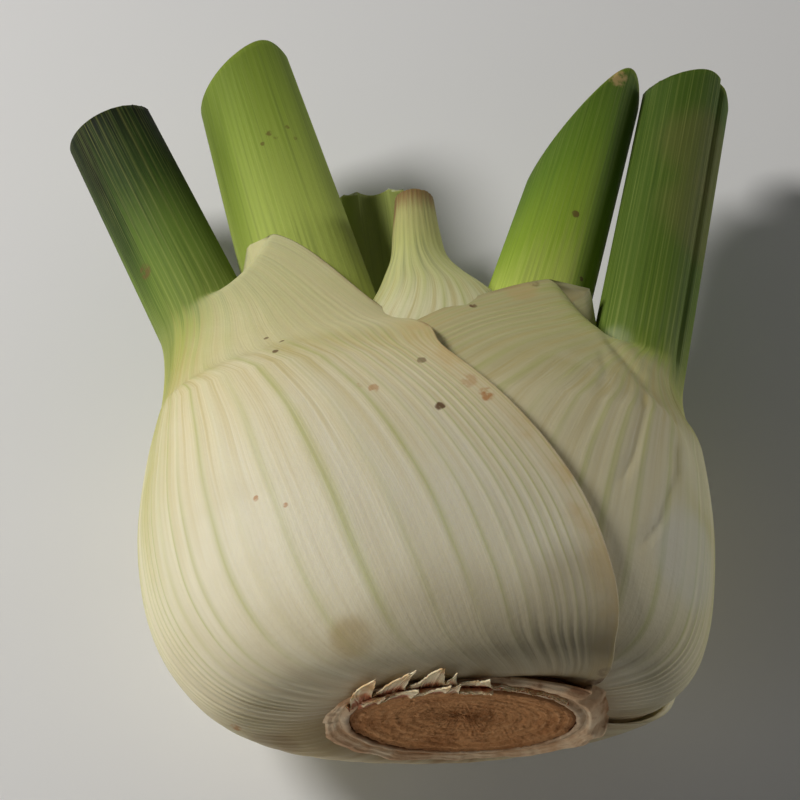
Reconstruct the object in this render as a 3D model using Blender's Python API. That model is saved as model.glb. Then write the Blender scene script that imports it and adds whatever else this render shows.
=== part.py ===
"""A fennel bulb with trimmed stalks, lying on its back.

Everything is laid out in the bulb's own frame first: x to its right, y up its axis from the cut root
face to the stalk tips, z out of the broad side that faces up. lie_down() then sets it on the surface.
"""

import math
from typing import NamedTuple

import bmesh
import bpy
from mathutils import Matrix, Vector

MM = 0.001

# Driving dimensions of the bulb
HALF_WIDTH = 55.0 * MM
HALF_DEPTH = 34.0 * MM
NECK_HEIGHT = 78.0 * MM
LEAF_GAP = 0.9 * MM
CARVED_GAP = 0.4 * MM
MARGIN_THICKNESS = 1.3 * MM
STALK_WALL = 3.0 * MM
STALK_GROOVE = 1.6 * MM

# How it lies: its axis's height over the surface, its pitch, and the place on the axis above the origin
AXIS_HEIGHT = 31.9 * MM
LYING_PITCH = math.radians(-3.0)
SEAT_ALONG_AXIS = 50.0 * MM

# Rings of the bulb's outside, base to top: shares of the half width, front half depth and neck height,
# the sideways shift of the ring's middle as a share of the half width, and the rear half depth's share
RINGS = (
    (0.405, 0.40, 0.026, 0.098, 0.40),
    (0.54, 0.55, 0.010, 0.075, 0.47),
    (0.73, 0.73, 0.035, 0.055, 0.54),
    (0.87, 0.86, 0.115, 0.035, 0.69),
    (0.96, 0.935, 0.256, 0.012, 0.86),
    (1.00, 0.99, 0.462, 0.0, 0.975),
    (0.985, 0.985, 0.667, 0.0, 1.00),
    (0.945, 0.86, 0.846, 0.0, 0.92),
    (0.90, 0.65, 1.000, 0.0, 0.68),
    (0.87, 0.47, 1.154, 0.0, 0.47),
    (0.84, 0.36, 1.308, 0.0, 0.36),
)

# Each layer's ellipse against the outermost one: how much narrower each half is, how far it shifts
# towards the thin side of the leaf outside it, its share of the depth, how much higher it starts,
# and its share of the lobes
LAYERS = (
    (0.0 * MM, 0.0 * MM, 1.00, 0.0 * MM, 1.0),
    (4.5 * MM, 2.4 * MM, 0.89, 3.6 * MM, 0.6),
    (9.0 * MM, 0.4 * MM, 0.79, 7.2 * MM, 0.3),
    (13.0 * MM, 2.0 * MM, 0.69, 10.8 * MM, 0.1),
    (17.0 * MM, 0.0 * MM, 0.60, 14.0 * MM, 0.0),
    (20.0 * MM, 0.0 * MM, 0.53, 16.5 * MM, 0.0),
)
HEART_LAYER = 5

# The underside bulges below the root face in two lobes: azimuth, spread, and depth
LOBES = (
    (math.radians(-30), math.radians(50), 2.2 * MM),
    (math.radians(205), math.radians(45), 1.0 * MM),
)
LOBE_RING = 1.5
LOBE_RINGS_WIDE = 1.5


class Leaf(NamedTuple):
    """One leaf: a sheath round the bulb that gathers into a stalk. Azimuths run 0 left, 90 front, 180 right.

    Wraps are pairs of a ring place and the margin's azimuth from the keel. lift is how high the front and
    back margins' auricles stand, the reaches where they start and peak, and how far the front one stands
    forward. twist turns the stalk's back towards the front. cut is how much higher than its middle the
    stalk's end is at its right and at its front, and how much its right corner is rounded off. furrow is
    how deep the line along the stalk is.
    """

    name: str
    layer: int
    keel: float
    turn: int
    front_wrap: tuple
    back_wrap: tuple
    gather: tuple
    foot: Vector
    tip: Vector
    foot_size: tuple
    tip_size: tuple
    stalk_wrap: float
    twist: float
    swell: float
    lift: tuple
    cut: tuple
    furrow: float
    ribs: int
    rib_heights: tuple
    rows: tuple
    colour: tuple


def mm(*values):
    return Vector(values) * MM


LEAVES = (
    Leaf(
        name="leaf_left_outer",
        layer=0,
        keel=0,
        turn=1,
        front_wrap=((0, 155), (1, 149), (2, 133), (4, 125), (5, 116), (6, 101), (7, 86), (8, 76), (9, 66)),
        back_wrap=((0, 165), (2, 158), (4, 148), (5, 142), (6, 136), (7, 122), (8, 92), (9, 62)),
        gather=(6.7, 8.6),
        foot=mm(-44.0, 88.0, 0),
        tip=mm(-64.2, 133.0, 0),
        foot_size=(9.0 * MM, 9.6 * MM),
        tip_size=(8.4 * MM, 8.6 * MM),
        stalk_wrap=124,
        twist=26,
        swell=3.0 * MM,
        lift=(12.0 * MM, 7.0 * MM, 1.5, 1.86, 6.0 * MM),
        cut=(0.0 * MM, 0.0 * MM, 0.0 * MM),
        furrow=0.0 * MM,
        ribs=9,
        rib_heights=(0.35 * MM, 0.15 * MM),
        rows=(11, 10, 4),
        colour=(0.55, 0.58, 0.30),
    ),
    Leaf(
        name="leaf_right_outer",
        layer=1,
        keel=180,
        turn=-1,
        front_wrap=((0, 165), (2, 155), (4, 148), (5, 140), (6, 124), (7, 106), (8, 90), (9, 78)),
        back_wrap=((0, 165), (2, 155), (4, 148), (5, 138), (6, 118), (7, 98), (8, 84), (9, 72)),
        gather=(6.2, 7.9),
        foot=mm(39.4, 77.0, 0),
        tip=mm(52.0, 142.5, 0),
        foot_size=(9.8 * MM, 9.6 * MM),
        tip_size=(9.1 * MM, 8.8 * MM),
        stalk_wrap=126,
        twist=26,
        swell=0.3 * MM,
        lift=(16.0 * MM, 9.0 * MM, 1.05, 1.78, 4.5 * MM),
        cut=(4.6 * MM, 0.0 * MM, 6.5 * MM),
        furrow=0.9 * MM,
        ribs=9,
        rib_heights=(0.3 * MM, 0.15 * MM),
        rows=(11, 10, 5),
        colour=(0.52, 0.56, 0.30),
    ),
    Leaf(
        name="leaf_left_inner",
        layer=2,
        keel=0,
        turn=1,
        front_wrap=((0, 160), (2, 110), (4, 64), (6, 60), (9, 60)),
        back_wrap=((0, 160), (4, 145), (6, 125), (7, 105), (8, 90), (9, 80)),
        gather=(6.2, 8.2),
        foot=mm(-20.0, 81.0, 1),
        tip=mm(-37.7, 144.8, 2),
        foot_size=(12.6 * MM, 10.4 * MM),
        tip_size=(10.0 * MM, 9.2 * MM),
        stalk_wrap=124,
        twist=30,
        swell=0.0 * MM,
        lift=(3.0 * MM, 6.0 * MM, 1.05, 1.6, 0.0 * MM),
        cut=(5.2 * MM, 1.5 * MM, 7.0 * MM),
        furrow=0.0 * MM,
        ribs=5,
        rib_heights=(0.0 * MM, 0.2 * MM),
        rows=(9, 9, 6),
        colour=(0.55, 0.62, 0.28),
    ),
    Leaf(
        name="leaf_right_inner",
        layer=3,
        keel=180,
        turn=-1,
        front_wrap=((0, 150), (2, 100), (4, 62), (6, 58), (9, 58)),
        back_wrap=((0, 160), (4, 145), (6, 125), (7, 108), (8, 95), (9, 85)),
        gather=(6.2, 8.2),
        foot=mm(18.0, 81.0, 1),
        tip=mm(31.6, 132.0, 2),
        foot_size=(10.4 * MM, 9.6 * MM),
        tip_size=(8.6 * MM, 8.2 * MM),
        stalk_wrap=126,
        twist=34,
        swell=0.0 * MM,
        lift=(2.0 * MM, 6.0 * MM, 1.05, 1.7, 0.0 * MM),
        cut=(19.0 * MM, 4.0 * MM, 11.0 * MM),
        furrow=0.0 * MM,
        ribs=5,
        rib_heights=(0.0 * MM, 0.2 * MM),
        rows=(9, 8, 6),
        colour=(0.50, 0.58, 0.26),
    ),
    Leaf(
        name="leaf_back_short",
        layer=4,
        keel=-90,
        turn=1,
        front_wrap=((0, 100), (6, 95), (8, 80), (9, 70)),
        back_wrap=((0, 100), (6, 95), (8, 80), (9, 70)),
        gather=(6.6, 8.4),
        foot=mm(-7.0, 84.0, -8.0),
        tip=mm(-11.5, 123.0, -8.5),
        foot_size=(8.0 * MM, 4.6 * MM),
        tip_size=(7.2 * MM, 4.2 * MM),
        stalk_wrap=120,
        twist=0,
        swell=0.0 * MM,
        lift=(0.0 * MM, 0.0 * MM, 1.05, 1.7, 0.0 * MM),
        cut=(0.0 * MM, 0.0 * MM, 0.0 * MM),
        furrow=0.0 * MM,
        ribs=4,
        rib_heights=(0.0 * MM, 0.1 * MM),
        rows=(8, 7, 4),
        colour=(0.30, 0.38, 0.16),
    ),
)

INNER_COLUMNS = 20

# A leaf's cross-section: from which share across its margins thin out, how far it has gathered when the
# stalk is full to its edges, how late its depth gathers against its width, and how an auricle rises across
MARGIN_THINS_FROM = 0.55
STALK_FILLS_FROM = 0.6
DEPTH_GATHERS_LATE = 1.7
AURICLE_POWER = 3

# How suddenly the right corner of a stalk's cut end rounds off
CORNER_POWER = 4

# The stalk's inner face: its place from the chord, its share of the chord's width, and where it begins
GROOVE_OFFSET = 0.6 * MM
GROOVE_WIDTH_SHARE = 0.86
GROOVE_FROM = 0.25

# The line along a stalk: its place and width across, and the reaches over which it deepens
FURROW_ACROSS = 0.07
FURROW_WIDTH = 0.04
FURROW_REACH = (1.8, 2.1)

RIBLESS_FROM = 0.92
ROWS_CROWD_UPWARD = 0.85

# The heart: the closed leaf in the middle. Its front bulges out between the other leaves to the layer
# under the two outer leaves, and above the neck it narrows to a short cut stub.
HEART_PLACES = (0, 0.7, 1.4, 2.2, 3, 4, 5, 6, 6.8)
HEART_FRONT_LAYER = 2
HEART_FRONT = (math.radians(26), math.radians(52))
HEART_FRONT_PLACES = (2.0, 4.0)
# Sections above the sheath, in mm: height, x and z of the middle, half width, half depth
HEART_NECK = (
    (72, 0.0, 3.0, 22.0, 17.5),
    (80, 1.5, 6.5, 17.0, 11.5),
    (87, 1.0, 8.5, 12.0, 7.5),
    (92, -1.0, 9.0, 8.0, 5.6),
    (96, -2.2, 9.3, 5.6, 4.8),
    (102, -2.8, 9.6, 4.6, 4.4),
    (109.5, -3.2, 10.0, 3.8, 3.9),
)
HEART_COLUMNS = 24
HEART_COLOUR = (0.80, 0.80, 0.60)

# The root crown: the cut plate that every leaf base grows from
CROWN_HEIGHT = 16.5 * MM
CROWN_GAP = 0.6 * MM
CROWN_COLUMNS = 36
CROWN_DOME = 1.4 * MM
CROWN_ROUGHNESS = 0.3 * MM
CROWN_COLOUR = (0.36, 0.22, 0.12)

# Levels of the crown, from the middle of its cut face to its inner end: share of its width, and height
CROWN_LEVELS = (
    (0.35, -0.2 * CROWN_DOME),
    (0.70, -0.6 * CROWN_DOME),
    (0.93, -CROWN_DOME),
    (1.00, -0.2 * CROWN_DOME),
    (0.98, 0.5 * CROWN_HEIGHT),
    (0.96, 0.88 * CROWN_HEIGHT),
)
CROWN_FACE_LEVELS = 3

# The torn rim of older leaf bases on the crown's front: its azimuths, and how far its ragged edge reaches
# up the sheath, in ring places, at equal steps between them
TORN_SPAN = (math.radians(34), math.radians(112))
TORN_EDGE = (0.3, 0.8, 0.5, 1.3, 0.9, 1.0, 0.6, 1.5, 1.0, 1.3, 0.7, 1.5, 0.8, 1.0, 0.4)
TORN_THICKNESS = 0.9 * MM
TORN_CLEARANCE = 0.5 * MM
TORN_ROOT = 0.8
TORN_ROWS = 5


def clamp(value, low=0.0, high=1.0):
    return max(low, min(high, value))


def smooth(value, low=0.0, high=1.0):
    """0 below low, 1 above high, and an S-shaped rise between."""
    share = clamp((value - low) / (high - low))
    return share * share * (3 - 2 * share)


def mix(a, b, share):
    return a + (b - a) * share


def through(points, place):
    """A smooth (Catmull-Rom) curve through equally spaced values, read at a place counted in points."""
    last = len(points) - 1
    place = clamp(place, 0, last)
    index = min(int(place), last - 1)
    share = place - index
    before, a, b, after = (points[clamp(index + step, 0, last)] for step in (-1, 0, 1, 2))
    slope_a, slope_b = (b - before) / 2, (after - a) / 2
    square, cube = share**2, share**3
    return (
        (2 * cube - 3 * square + 1) * a
        + (cube - 2 * square + share) * slope_a
        + (3 * square - 2 * cube) * b
        + (cube - square) * slope_b
    )


def table(pairs, place):
    """Straight interpolation in (place, value) pairs."""
    for (low, a), (high, b) in zip(pairs, pairs[1:]):
        if place <= high:
            return mix(a, b, clamp((place - low) / (high - low)))
    return pairs[-1][1]


def ring(place, layer, grow=0.0):
    """A layer's ring at a ring place: middle x, height, half width, and half depths in front and behind."""
    columns = [[row[i] for row in RINGS] for i in range(5)]
    width, depth, height, shift, rear = (through(column, place) for column in columns)
    step = 0.05
    rise = through(columns[2], place + step) - through(columns[2], place - step)
    spread = through(columns[0], place + step) - through(columns[0], place - step)
    length = math.hypot(rise * NECK_HEIGHT, spread * HALF_WIDTH)
    outward = clamp(rise * NECK_HEIGHT / length)
    downward = clamp(spread * HALF_WIDTH / length)
    narrower, aside, depth_share, higher, _ = LAYERS[layer]
    half_width = width * HALF_WIDTH - narrower * outward + grow * outward
    layer_depth = HALF_DEPTH * mix(1, depth_share, outward)
    front_depth = depth * layer_depth + grow * outward
    rear_depth = rear * layer_depth + grow * outward
    middle = shift * HALF_WIDTH + aside * outward
    return middle, height * NECK_HEIGHT + (higher - grow) * downward, half_width, front_depth, rear_depth


def lobe_dip(azimuth, place, layer):
    """How far the underside's lobes hang below a layer's ring there."""
    along = math.exp(-(((place - LOBE_RING) / LOBE_RINGS_WIDE) ** 2))
    dip = 0.0
    for middle, spread, depth in LOBES:
        turn = math.remainder(azimuth - middle, math.tau)
        dip += depth * math.exp(-((turn / spread) ** 2))
    return dip * along * LAYERS[layer][4]


def stalk_axis(leaf):
    return (leaf.tip - leaf.foot).normalized()


def lie_down(point):
    """From the bulb's frame to the surface it lies on, flattened where it touches."""
    placed = Matrix.Rotation(LYING_PITCH, 3, "X") @ (point - Vector((0, SEAT_ALONG_AXIS, 0)))
    return Vector((placed.x, placed.y, max(0.0, placed.z + AXIS_HEIGHT)))


def leaf_station(leaf, reach):
    """A cross-section's place at a reach: 0 to 1 up the sheath, to 2 as it gathers, to 3 up the stalk."""
    start, end = leaf.gather
    if reach <= 1:
        place = start * reach
    else:
        place = mix(start, end, clamp(reach - 1))
    up = stalk_axis(leaf)
    if reach <= 2:
        drop = leaf.foot.y - ring(start, leaf.layer)[1]
        middle = leaf.foot + up * (drop / up.y) * (reach - 2)
    else:
        middle = leaf.foot + up * (leaf.tip - leaf.foot).length * (reach - 2)
    return place, smooth(reach, 1, 2), middle, up, clamp(reach - 2)


def leaf_point(leaf, across, reach, inside):
    """A point of the leaf's outer or inner face. across runs from -1 at the back margin to 1 at the front."""
    place, gathered, stalk_middle, up, climbed = leaf_station(leaf, reach)
    wrap = table(leaf.front_wrap if across > 0 else leaf.back_wrap, place)
    wrap = mix(wrap, leaf.stalk_wrap, gathered)
    keel = math.radians(leaf.keel + leaf.turn * leaf.twist * gathered)
    azimuth = keel + math.radians(leaf.turn * across * wrap)
    outward = Vector((-math.cos(azimuth), 0, math.sin(azimuth)))
    stalk_width = mix(leaf.foot_size[0], leaf.tip_size[0], climbed)
    stalk_depth = mix(leaf.foot_size[1], leaf.tip_size[1], climbed)
    swell = leaf.swell * 4 * gathered * (1 - gathered)

    def section(layer, grow, wall, widen):
        """The section between this layer's sheath and the stalk, with this wall left outside it there."""
        middle_x, height, half_width, front_depth, rear_depth = ring(place, layer, grow)
        half_depth = front_depth if outward.z > 0 else rear_depth
        a = mix(half_width * widen, stalk_width - wall, gathered) + swell
        b = mix(half_depth * widen, stalk_depth - wall, gathered**DEPTH_GATHERS_LATE)
        centre = Vector((middle_x, height, 0)).lerp(stalk_middle, gathered)
        offset = Vector((outward.x * a, 0, outward.z * b))
        offset.y = -gathered * (offset.x * up.x + offset.z * up.z) / up.y
        offset.y -= lobe_dip(azimuth, place, layer) * (1 - gathered)
        return centre + offset

    around_flats = 1 / math.cos(math.radians(wrap) / INNER_COLUMNS)
    inner = section(leaf.layer + 1, LEAF_GAP, STALK_WALL, around_flats)
    outer = section(leaf.layer, 0.0, 0.0, 1.0)
    full = 1 - smooth(abs(across), MARGIN_THINS_FROM, 1.0)
    thin = inner + outward * MARGIN_THICKNESS
    outer = thin.lerp(outer, max(full, smooth(gathered, STALK_FILLS_FROM, 1.0)))

    keel_side = Vector((-math.cos(keel), 0, math.sin(keel)))
    beside = Vector((math.sin(keel), 0, math.cos(keel))) * leaf.turn
    half_wrap = math.radians(leaf.stalk_wrap)
    along_keel = stalk_width * math.cos(half_wrap) + STALK_GROOVE * (1 - across**2) + GROOVE_OFFSET
    sideways = stalk_depth * math.sin(half_wrap) * across * GROOVE_WIDTH_SHARE
    step = keel_side * along_keel + beside * sideways
    step.y = -(step.x * up.x + step.z * up.z) / up.y
    inner = inner.lerp(stalk_middle + step, smooth(gathered, GROOVE_FROM, 1.0))

    beside_furrow = (across - FURROW_ACROSS) / FURROW_WIDTH
    outer -= outward * leaf.furrow * math.exp(-(beside_furrow**2)) * smooth(reach, *FURROW_REACH)

    point = inner if inside else outer
    front_lift, back_lift, start, peak, forward = leaf.lift
    bump = smooth(reach, start, peak) * (1 - smooth(reach, peak, 2.0)) * abs(across) ** AURICLE_POWER
    point.y += (front_lift if across > 0 else back_lift) * bump
    if across > 0:
        point.z += forward * bump
    right_share = (point.x - stalk_middle.x) / stalk_width
    front_share = (point.z - stalk_middle.z) / stalk_depth
    to_right, to_front, corner = leaf.cut
    slant = to_right * right_share + to_front * front_share - corner * max(0, right_share) ** CORNER_POWER
    point += up * climbed * slant
    return point, outward


def rib_wave(across, ribs):
    """Ribs run along the veins: crests at the odd columns of the mesh and furrows at the even ones."""
    return -math.cos(2 * math.pi * ribs * across) * (1 - smooth(abs(across), RIBLESS_FROM, 1.0))


def rows_of(leaf):
    sheath, gather, stalk = leaf.rows
    reaches = [(i / sheath) ** ROWS_CROWD_UPWARD for i in range(sheath)]
    reaches += [1 + i / gather for i in range(gather)]
    return reaches + [2 + i / stalk for i in range(stalk + 1)]


def leaf_mesh(leaf):
    """The closed leaf: outer face, inner face, both margins, the base edge and the cut end of the stalk."""
    columns = 4 * leaf.ribs
    outer_across = [2 * i / columns - 1 for i in range(columns + 1)]
    inner_across = [1 - 2 * i / INNER_COLUMNS for i in range(INNER_COLUMNS + 1)]
    mesh = bmesh.new()
    rows = []
    for reach in rows_of(leaf):
        rib_height = mix(*leaf.rib_heights, smooth(reach, 1.3, 2.0)) * smooth(reach, 0.0, 0.25)
        row = []
        for across in outer_across:
            point, outward = leaf_point(leaf, across, reach, False)
            point += outward * rib_height * rib_wave(across, leaf.ribs)
            row.append(mesh.verts.new(lie_down(point)))
        for across in inner_across:
            point, outward = leaf_point(leaf, across, reach, True)
            row.append(mesh.verts.new(lie_down(point)))
        rows.append(row)
    for lower, upper in zip(rows, rows[1:]):
        for i, j in zip(range(len(lower)), [*range(1, len(lower)), 0]):
            mesh.faces.new((lower[i], upper[i], upper[j], lower[j]))
    for row, turned in ((rows[0], False), (rows[-1], True)):
        close_strip(mesh, row, columns, turned)
    return mesh


def close_strip(mesh, row, columns, turned):
    """Closes a cross-section with a strip of triangles between its outer line and its inner line."""
    outer, inner = row[: columns + 1], row[columns + 1 :][::-1]
    i = j = 0
    while i < len(outer) - 1 or j < len(inner) - 1:
        outer_next = (i + 1) / (len(outer) - 1)
        inner_next = (j + 1) / (len(inner) - 1)
        if j == len(inner) - 1 or (i < len(outer) - 1 and outer_next <= inner_next):
            face = (outer[i], outer[i + 1], inner[j])
            i += 1
        else:
            face = (outer[i], inner[j + 1], inner[j])
            j += 1
        mesh.faces.new(face[::-1] if turned else face)


def closed_rings(mesh, rings):
    """Bridges closed rings of vertices and closes both ends with a fan round their middle."""
    for lower, upper in zip(rings, rings[1:]):
        for i in range(len(lower)):
            j = (i + 1) % len(lower)
            mesh.faces.new((lower[i], upper[i], upper[j], lower[j]))
    for ring_verts, turned in ((rings[0], False), (rings[-1], True)):
        middle = sum((v.co for v in ring_verts), Vector()) / len(ring_verts)
        hub = mesh.verts.new(middle)
        for i in range(len(ring_verts)):
            j = (i + 1) % len(ring_verts)
            face = (ring_verts[i], ring_verts[j], hub)
            mesh.faces.new(face[::-1] if turned else face)


def heart_mesh():
    """The middle leaf: one solid, from its base in the crown to its cut stub."""
    mesh = bmesh.new()
    azimuths = [math.tau * i / HEART_COLUMNS for i in range(HEART_COLUMNS)]

    def sheath_point(place, layer, azimuth):
        middle_x, height, half_width, front_depth, rear_depth = ring(place, layer)
        half_depth = front_depth if math.sin(azimuth) > 0 else rear_depth
        return Vector((middle_x - half_width * math.cos(azimuth), height, half_depth * math.sin(azimuth)))

    rings = []
    for place in HEART_PLACES:
        row = []
        for azimuth in azimuths:
            off_front = abs(math.remainder(azimuth - math.pi / 2, math.tau))
            bulge = (1 - smooth(off_front, *HEART_FRONT)) * smooth(place, *HEART_FRONT_PLACES)
            back = sheath_point(place, HEART_LAYER, azimuth)
            front = sheath_point(place, HEART_FRONT_LAYER, azimuth)
            row.append(mesh.verts.new(lie_down(back.lerp(front, bulge))))
        rings.append(row)
    for section in HEART_NECK:
        height, x, z, half_width, half_depth = (value * MM for value in section)
        row = []
        for azimuth in azimuths:
            point = Vector((x - half_width * math.cos(azimuth), height, z + half_depth * math.sin(azimuth)))
            row.append(mesh.verts.new(lie_down(point)))
        rings.append(row)
    closed_rings(mesh, rings)
    return mesh


def crown_mesh():
    """The root crown: a plug inside the leaf bases, with a rough cut face."""
    mesh = bmesh.new()
    middle_x, rim_height, half_width, half_depth, _ = ring(0, 0)
    half_width -= CROWN_GAP
    half_depth -= CROWN_GAP
    rings = []
    for number, (share, height) in enumerate(CROWN_LEVELS):
        row = []
        for i in range(CROWN_COLUMNS):
            azimuth = math.tau * i / CROWN_COLUMNS
            rough = 0.0
            if number < CROWN_FACE_LEVELS:
                rough = CROWN_ROUGHNESS * math.sin(7 * azimuth + 2.1 * number)
            x = middle_x - half_width * share * math.cos(azimuth)
            z = half_depth * share * math.sin(azimuth)
            row.append(mesh.verts.new(lie_down(Vector((x, rim_height + height + rough, z)))))
        rings.append(row)
    closed_rings(mesh, rings)
    return mesh


def sheath_outside(azimuth, place):
    """A point of the outermost sheath and the direction straight out of it."""

    def at(angle, ring_place):
        middle_x, height, half_width, front_depth, rear_depth = ring(ring_place, 0)
        dip = lobe_dip(angle, ring_place, 0)
        half_depth = front_depth if math.sin(angle) > 0 else rear_depth
        return Vector((middle_x - half_width * math.cos(angle), height - dip, half_depth * math.sin(angle)))

    step = 0.02
    around = at(azimuth + step, place) - at(azimuth - step, place)
    along = at(azimuth, place + step) - at(azimuth, max(0.0, place - step))
    return at(azimuth, place), around.cross(along).normalized()


def torn_rim_mesh():
    """The torn rim: it starts inside the crown, bends round the sheath's lower edge and ends raggedly."""
    mesh = bmesh.new()
    steps = len(TORN_EDGE) - 1

    def torn_point(azimuth, length, row, thickness):
        share = max(0, row) / TORN_ROWS
        point, out = sheath_outside(azimuth, length * share)
        if out.y > 0:
            out = -out
        point += out * (TORN_CLEARANCE + thickness * mix(1, 0.6, share))
        if row < 0:
            crown_middle = Vector((ring(0, 0)[0], point.y, 0))
            point = crown_middle + (point - crown_middle) * TORN_ROOT
        return mesh.verts.new(lie_down(point))

    strips = []
    for step, length in enumerate(TORN_EDGE):
        azimuth = mix(*TORN_SPAN, step / steps)
        under = [torn_point(azimuth, length, row, 0.0) for row in range(-1, TORN_ROWS + 1)]
        over = [torn_point(azimuth, length, row, TORN_THICKNESS) for row in range(-1, TORN_ROWS + 1)]
        strips.append((under, over))
    for (under, over), (next_under, next_over) in zip(strips, strips[1:]):
        loop = under + over[::-1]
        next_loop = next_under + next_over[::-1]
        for i in range(len(loop)):
            j = (i + 1) % len(loop)
            mesh.faces.new((loop[i], loop[j], next_loop[j], next_loop[i]))
    for under, over in (strips[0], strips[-1]):
        for i in range(len(under) - 1):
            mesh.faces.new((under[i], over[i], over[i + 1], under[i + 1]))
    return mesh


def material(name, colour, roughness):
    made = bpy.data.materials.new(name)
    made.use_nodes = True
    shader = made.node_tree.nodes["Principled BSDF"]
    shader.inputs["Base Color"].default_value = (*colour, 1)
    shader.inputs["Roughness"].default_value = roughness
    made.diffuse_color = (*colour, 1)
    return made


def add_object(name, mesh, colour, roughness=0.45):
    """Makes an object of a bmesh, with its faces turned out and shaded smooth."""
    bmesh.ops.recalc_face_normals(mesh, faces=mesh.faces)
    data = bpy.data.meshes.new(name)
    mesh.to_mesh(data)
    mesh.free()
    data.shade_smooth()
    data.materials.append(material(name, colour, roughness))
    made = bpy.data.objects.new(name, data)
    bpy.context.scene.collection.objects.link(made)
    return made


def grown_copy(source):
    """A cutter: the same solid with its skin moved out by the gap that neighbours keep."""
    mesh = bmesh.new()
    mesh.from_mesh(source.data)
    mesh.normal_update()
    for vertex in mesh.verts:
        vertex.co += vertex.normal * CARVED_GAP
    cutter = add_object(source.name + "_cutter", mesh, (0.5, 0.5, 0.5))
    cutter.hide_render = True
    cutter.display_type = "WIRE"
    return cutter


def combine(target, others, operation):
    """Applies Boolean modifiers to the target and keeps its largest body.

    The exact solver returns an empty or inside-out leaf for some of these thin, nearly touching sheaths,
    so the solver for closed meshes does it.
    """
    for other in others:
        modifier = target.modifiers.new(other.name, "BOOLEAN")
        modifier.operation = operation
        modifier.solver = "MANIFOLD"
        modifier.object = other
    graph = bpy.context.evaluated_depsgraph_get()
    mesh = bmesh.new()
    mesh.from_mesh(bpy.data.meshes.new_from_object(target.evaluated_get(graph)))
    target.modifiers.clear()
    keep_largest_body(mesh)
    bmesh.ops.triangulate(mesh, faces=mesh.faces)
    mesh.to_mesh(target.data)
    mesh.free()
    target.data.shade_smooth()


def keep_largest_body(mesh):
    bodies = []
    left = set(mesh.verts)
    while left:
        body = set()
        edge_of_body = [left.pop()]
        while edge_of_body:
            vertex = edge_of_body.pop()
            body.add(vertex)
            for edge in vertex.link_edges:
                other = edge.other_vert(vertex)
                if other in left:
                    left.remove(other)
                    edge_of_body.append(other)
        bodies.append(body)
    largest = max(bodies, key=len)
    bmesh.ops.delete(mesh, geom=[v for v in mesh.verts if v not in largest], context="VERTS")


def remove(objects):
    for old in list(objects):
        bpy.data.objects.remove(old)


def main():
    remove(bpy.data.objects)
    solids = [add_object(leaf.name, leaf_mesh(leaf), leaf.colour) for leaf in LEAVES]
    solids.append(add_object("heart_leaf", heart_mesh(), HEART_COLOUR))
    cutters = []
    for solid in solids:
        if cutters:
            combine(solid, cutters, "DIFFERENCE")
        cutters.append(grown_copy(solid))
    remove(cutters)
    crown = add_object("root_crown", crown_mesh(), CROWN_COLOUR, 0.85)
    torn_rim = add_object("torn_rim", torn_rim_mesh(), CROWN_COLOUR)
    combine(crown, [torn_rim], "UNION")
    remove([torn_rim])


main()
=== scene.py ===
# %% [markdown]
# A fennel bulb, lying on its back
#
# A fennel bulb is a stack of fleshy leaf bases. Each leaf wraps round the younger ones, gathers at the
# neck and becomes a ribbed green stalk, here cut short. Below, every leaf is broken off at a brown root
# plate. The solids of the leaves come ready-made and fixed in place. This lesson makes their looks: the
# fine ribbed skins, the torn brown root, and materials that turn from cream to green along each leaf.

import math

import bpy
import numpy as np
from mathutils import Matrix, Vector


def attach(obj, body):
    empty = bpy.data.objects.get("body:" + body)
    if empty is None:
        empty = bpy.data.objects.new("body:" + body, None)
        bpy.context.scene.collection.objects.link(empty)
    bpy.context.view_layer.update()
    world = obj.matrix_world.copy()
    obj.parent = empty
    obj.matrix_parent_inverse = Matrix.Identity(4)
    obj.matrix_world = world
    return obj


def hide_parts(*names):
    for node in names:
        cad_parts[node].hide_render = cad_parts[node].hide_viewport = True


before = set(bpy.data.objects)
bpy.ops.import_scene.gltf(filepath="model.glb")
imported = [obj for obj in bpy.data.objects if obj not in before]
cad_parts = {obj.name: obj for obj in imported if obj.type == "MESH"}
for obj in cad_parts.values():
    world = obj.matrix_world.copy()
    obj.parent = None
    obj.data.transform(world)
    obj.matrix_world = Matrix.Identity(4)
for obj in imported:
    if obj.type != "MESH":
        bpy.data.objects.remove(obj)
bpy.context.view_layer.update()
MM = 0.001
print("solids:", sorted(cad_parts))

# %% [markdown]
# The camera
#
# The bulb is seen from above and from its root end, so the round root plate shows at the bottom as a
# narrow ellipse. How narrow it is gives the camera's height: 61 degrees. A long lens keeps the near and
# the far end at nearly one scale. The same numbers tell where any point falls in an 800 pixel picture,
# which later puts a crease or a blemish at the place where the real bulb has it.

# %% Camera
CAMERA_RISE = math.radians(61)
CAMERA_DISTANCE = 0.65
CAMERA_TARGET = np.array((-0.006, 0.0174, 0.0349))
VIEW_WIDTH = 0.153
SENSOR = 36.0
PICTURE = 800
MM_PER_PIXEL = VIEW_WIDTH / PICTURE / MM
FORWARD = np.array((0.0, math.cos(CAMERA_RISE), -math.sin(CAMERA_RISE)))
PICTURE_UP = np.array((0.0, math.sin(CAMERA_RISE), math.cos(CAMERA_RISE)))


def add_camera():
    camera = bpy.data.objects.new("camera", bpy.data.cameras.new("camera"))
    bpy.context.scene.collection.objects.link(camera)
    camera.location = Vector(CAMERA_TARGET - FORWARD * CAMERA_DISTANCE)
    camera.rotation_euler = (math.pi / 2 - CAMERA_RISE, 0, 0)
    camera.data.sensor_width = SENSOR
    camera.data.lens = SENSOR * CAMERA_DISTANCE / VIEW_WIDTH
    bpy.context.scene.camera = camera
    return camera


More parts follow.
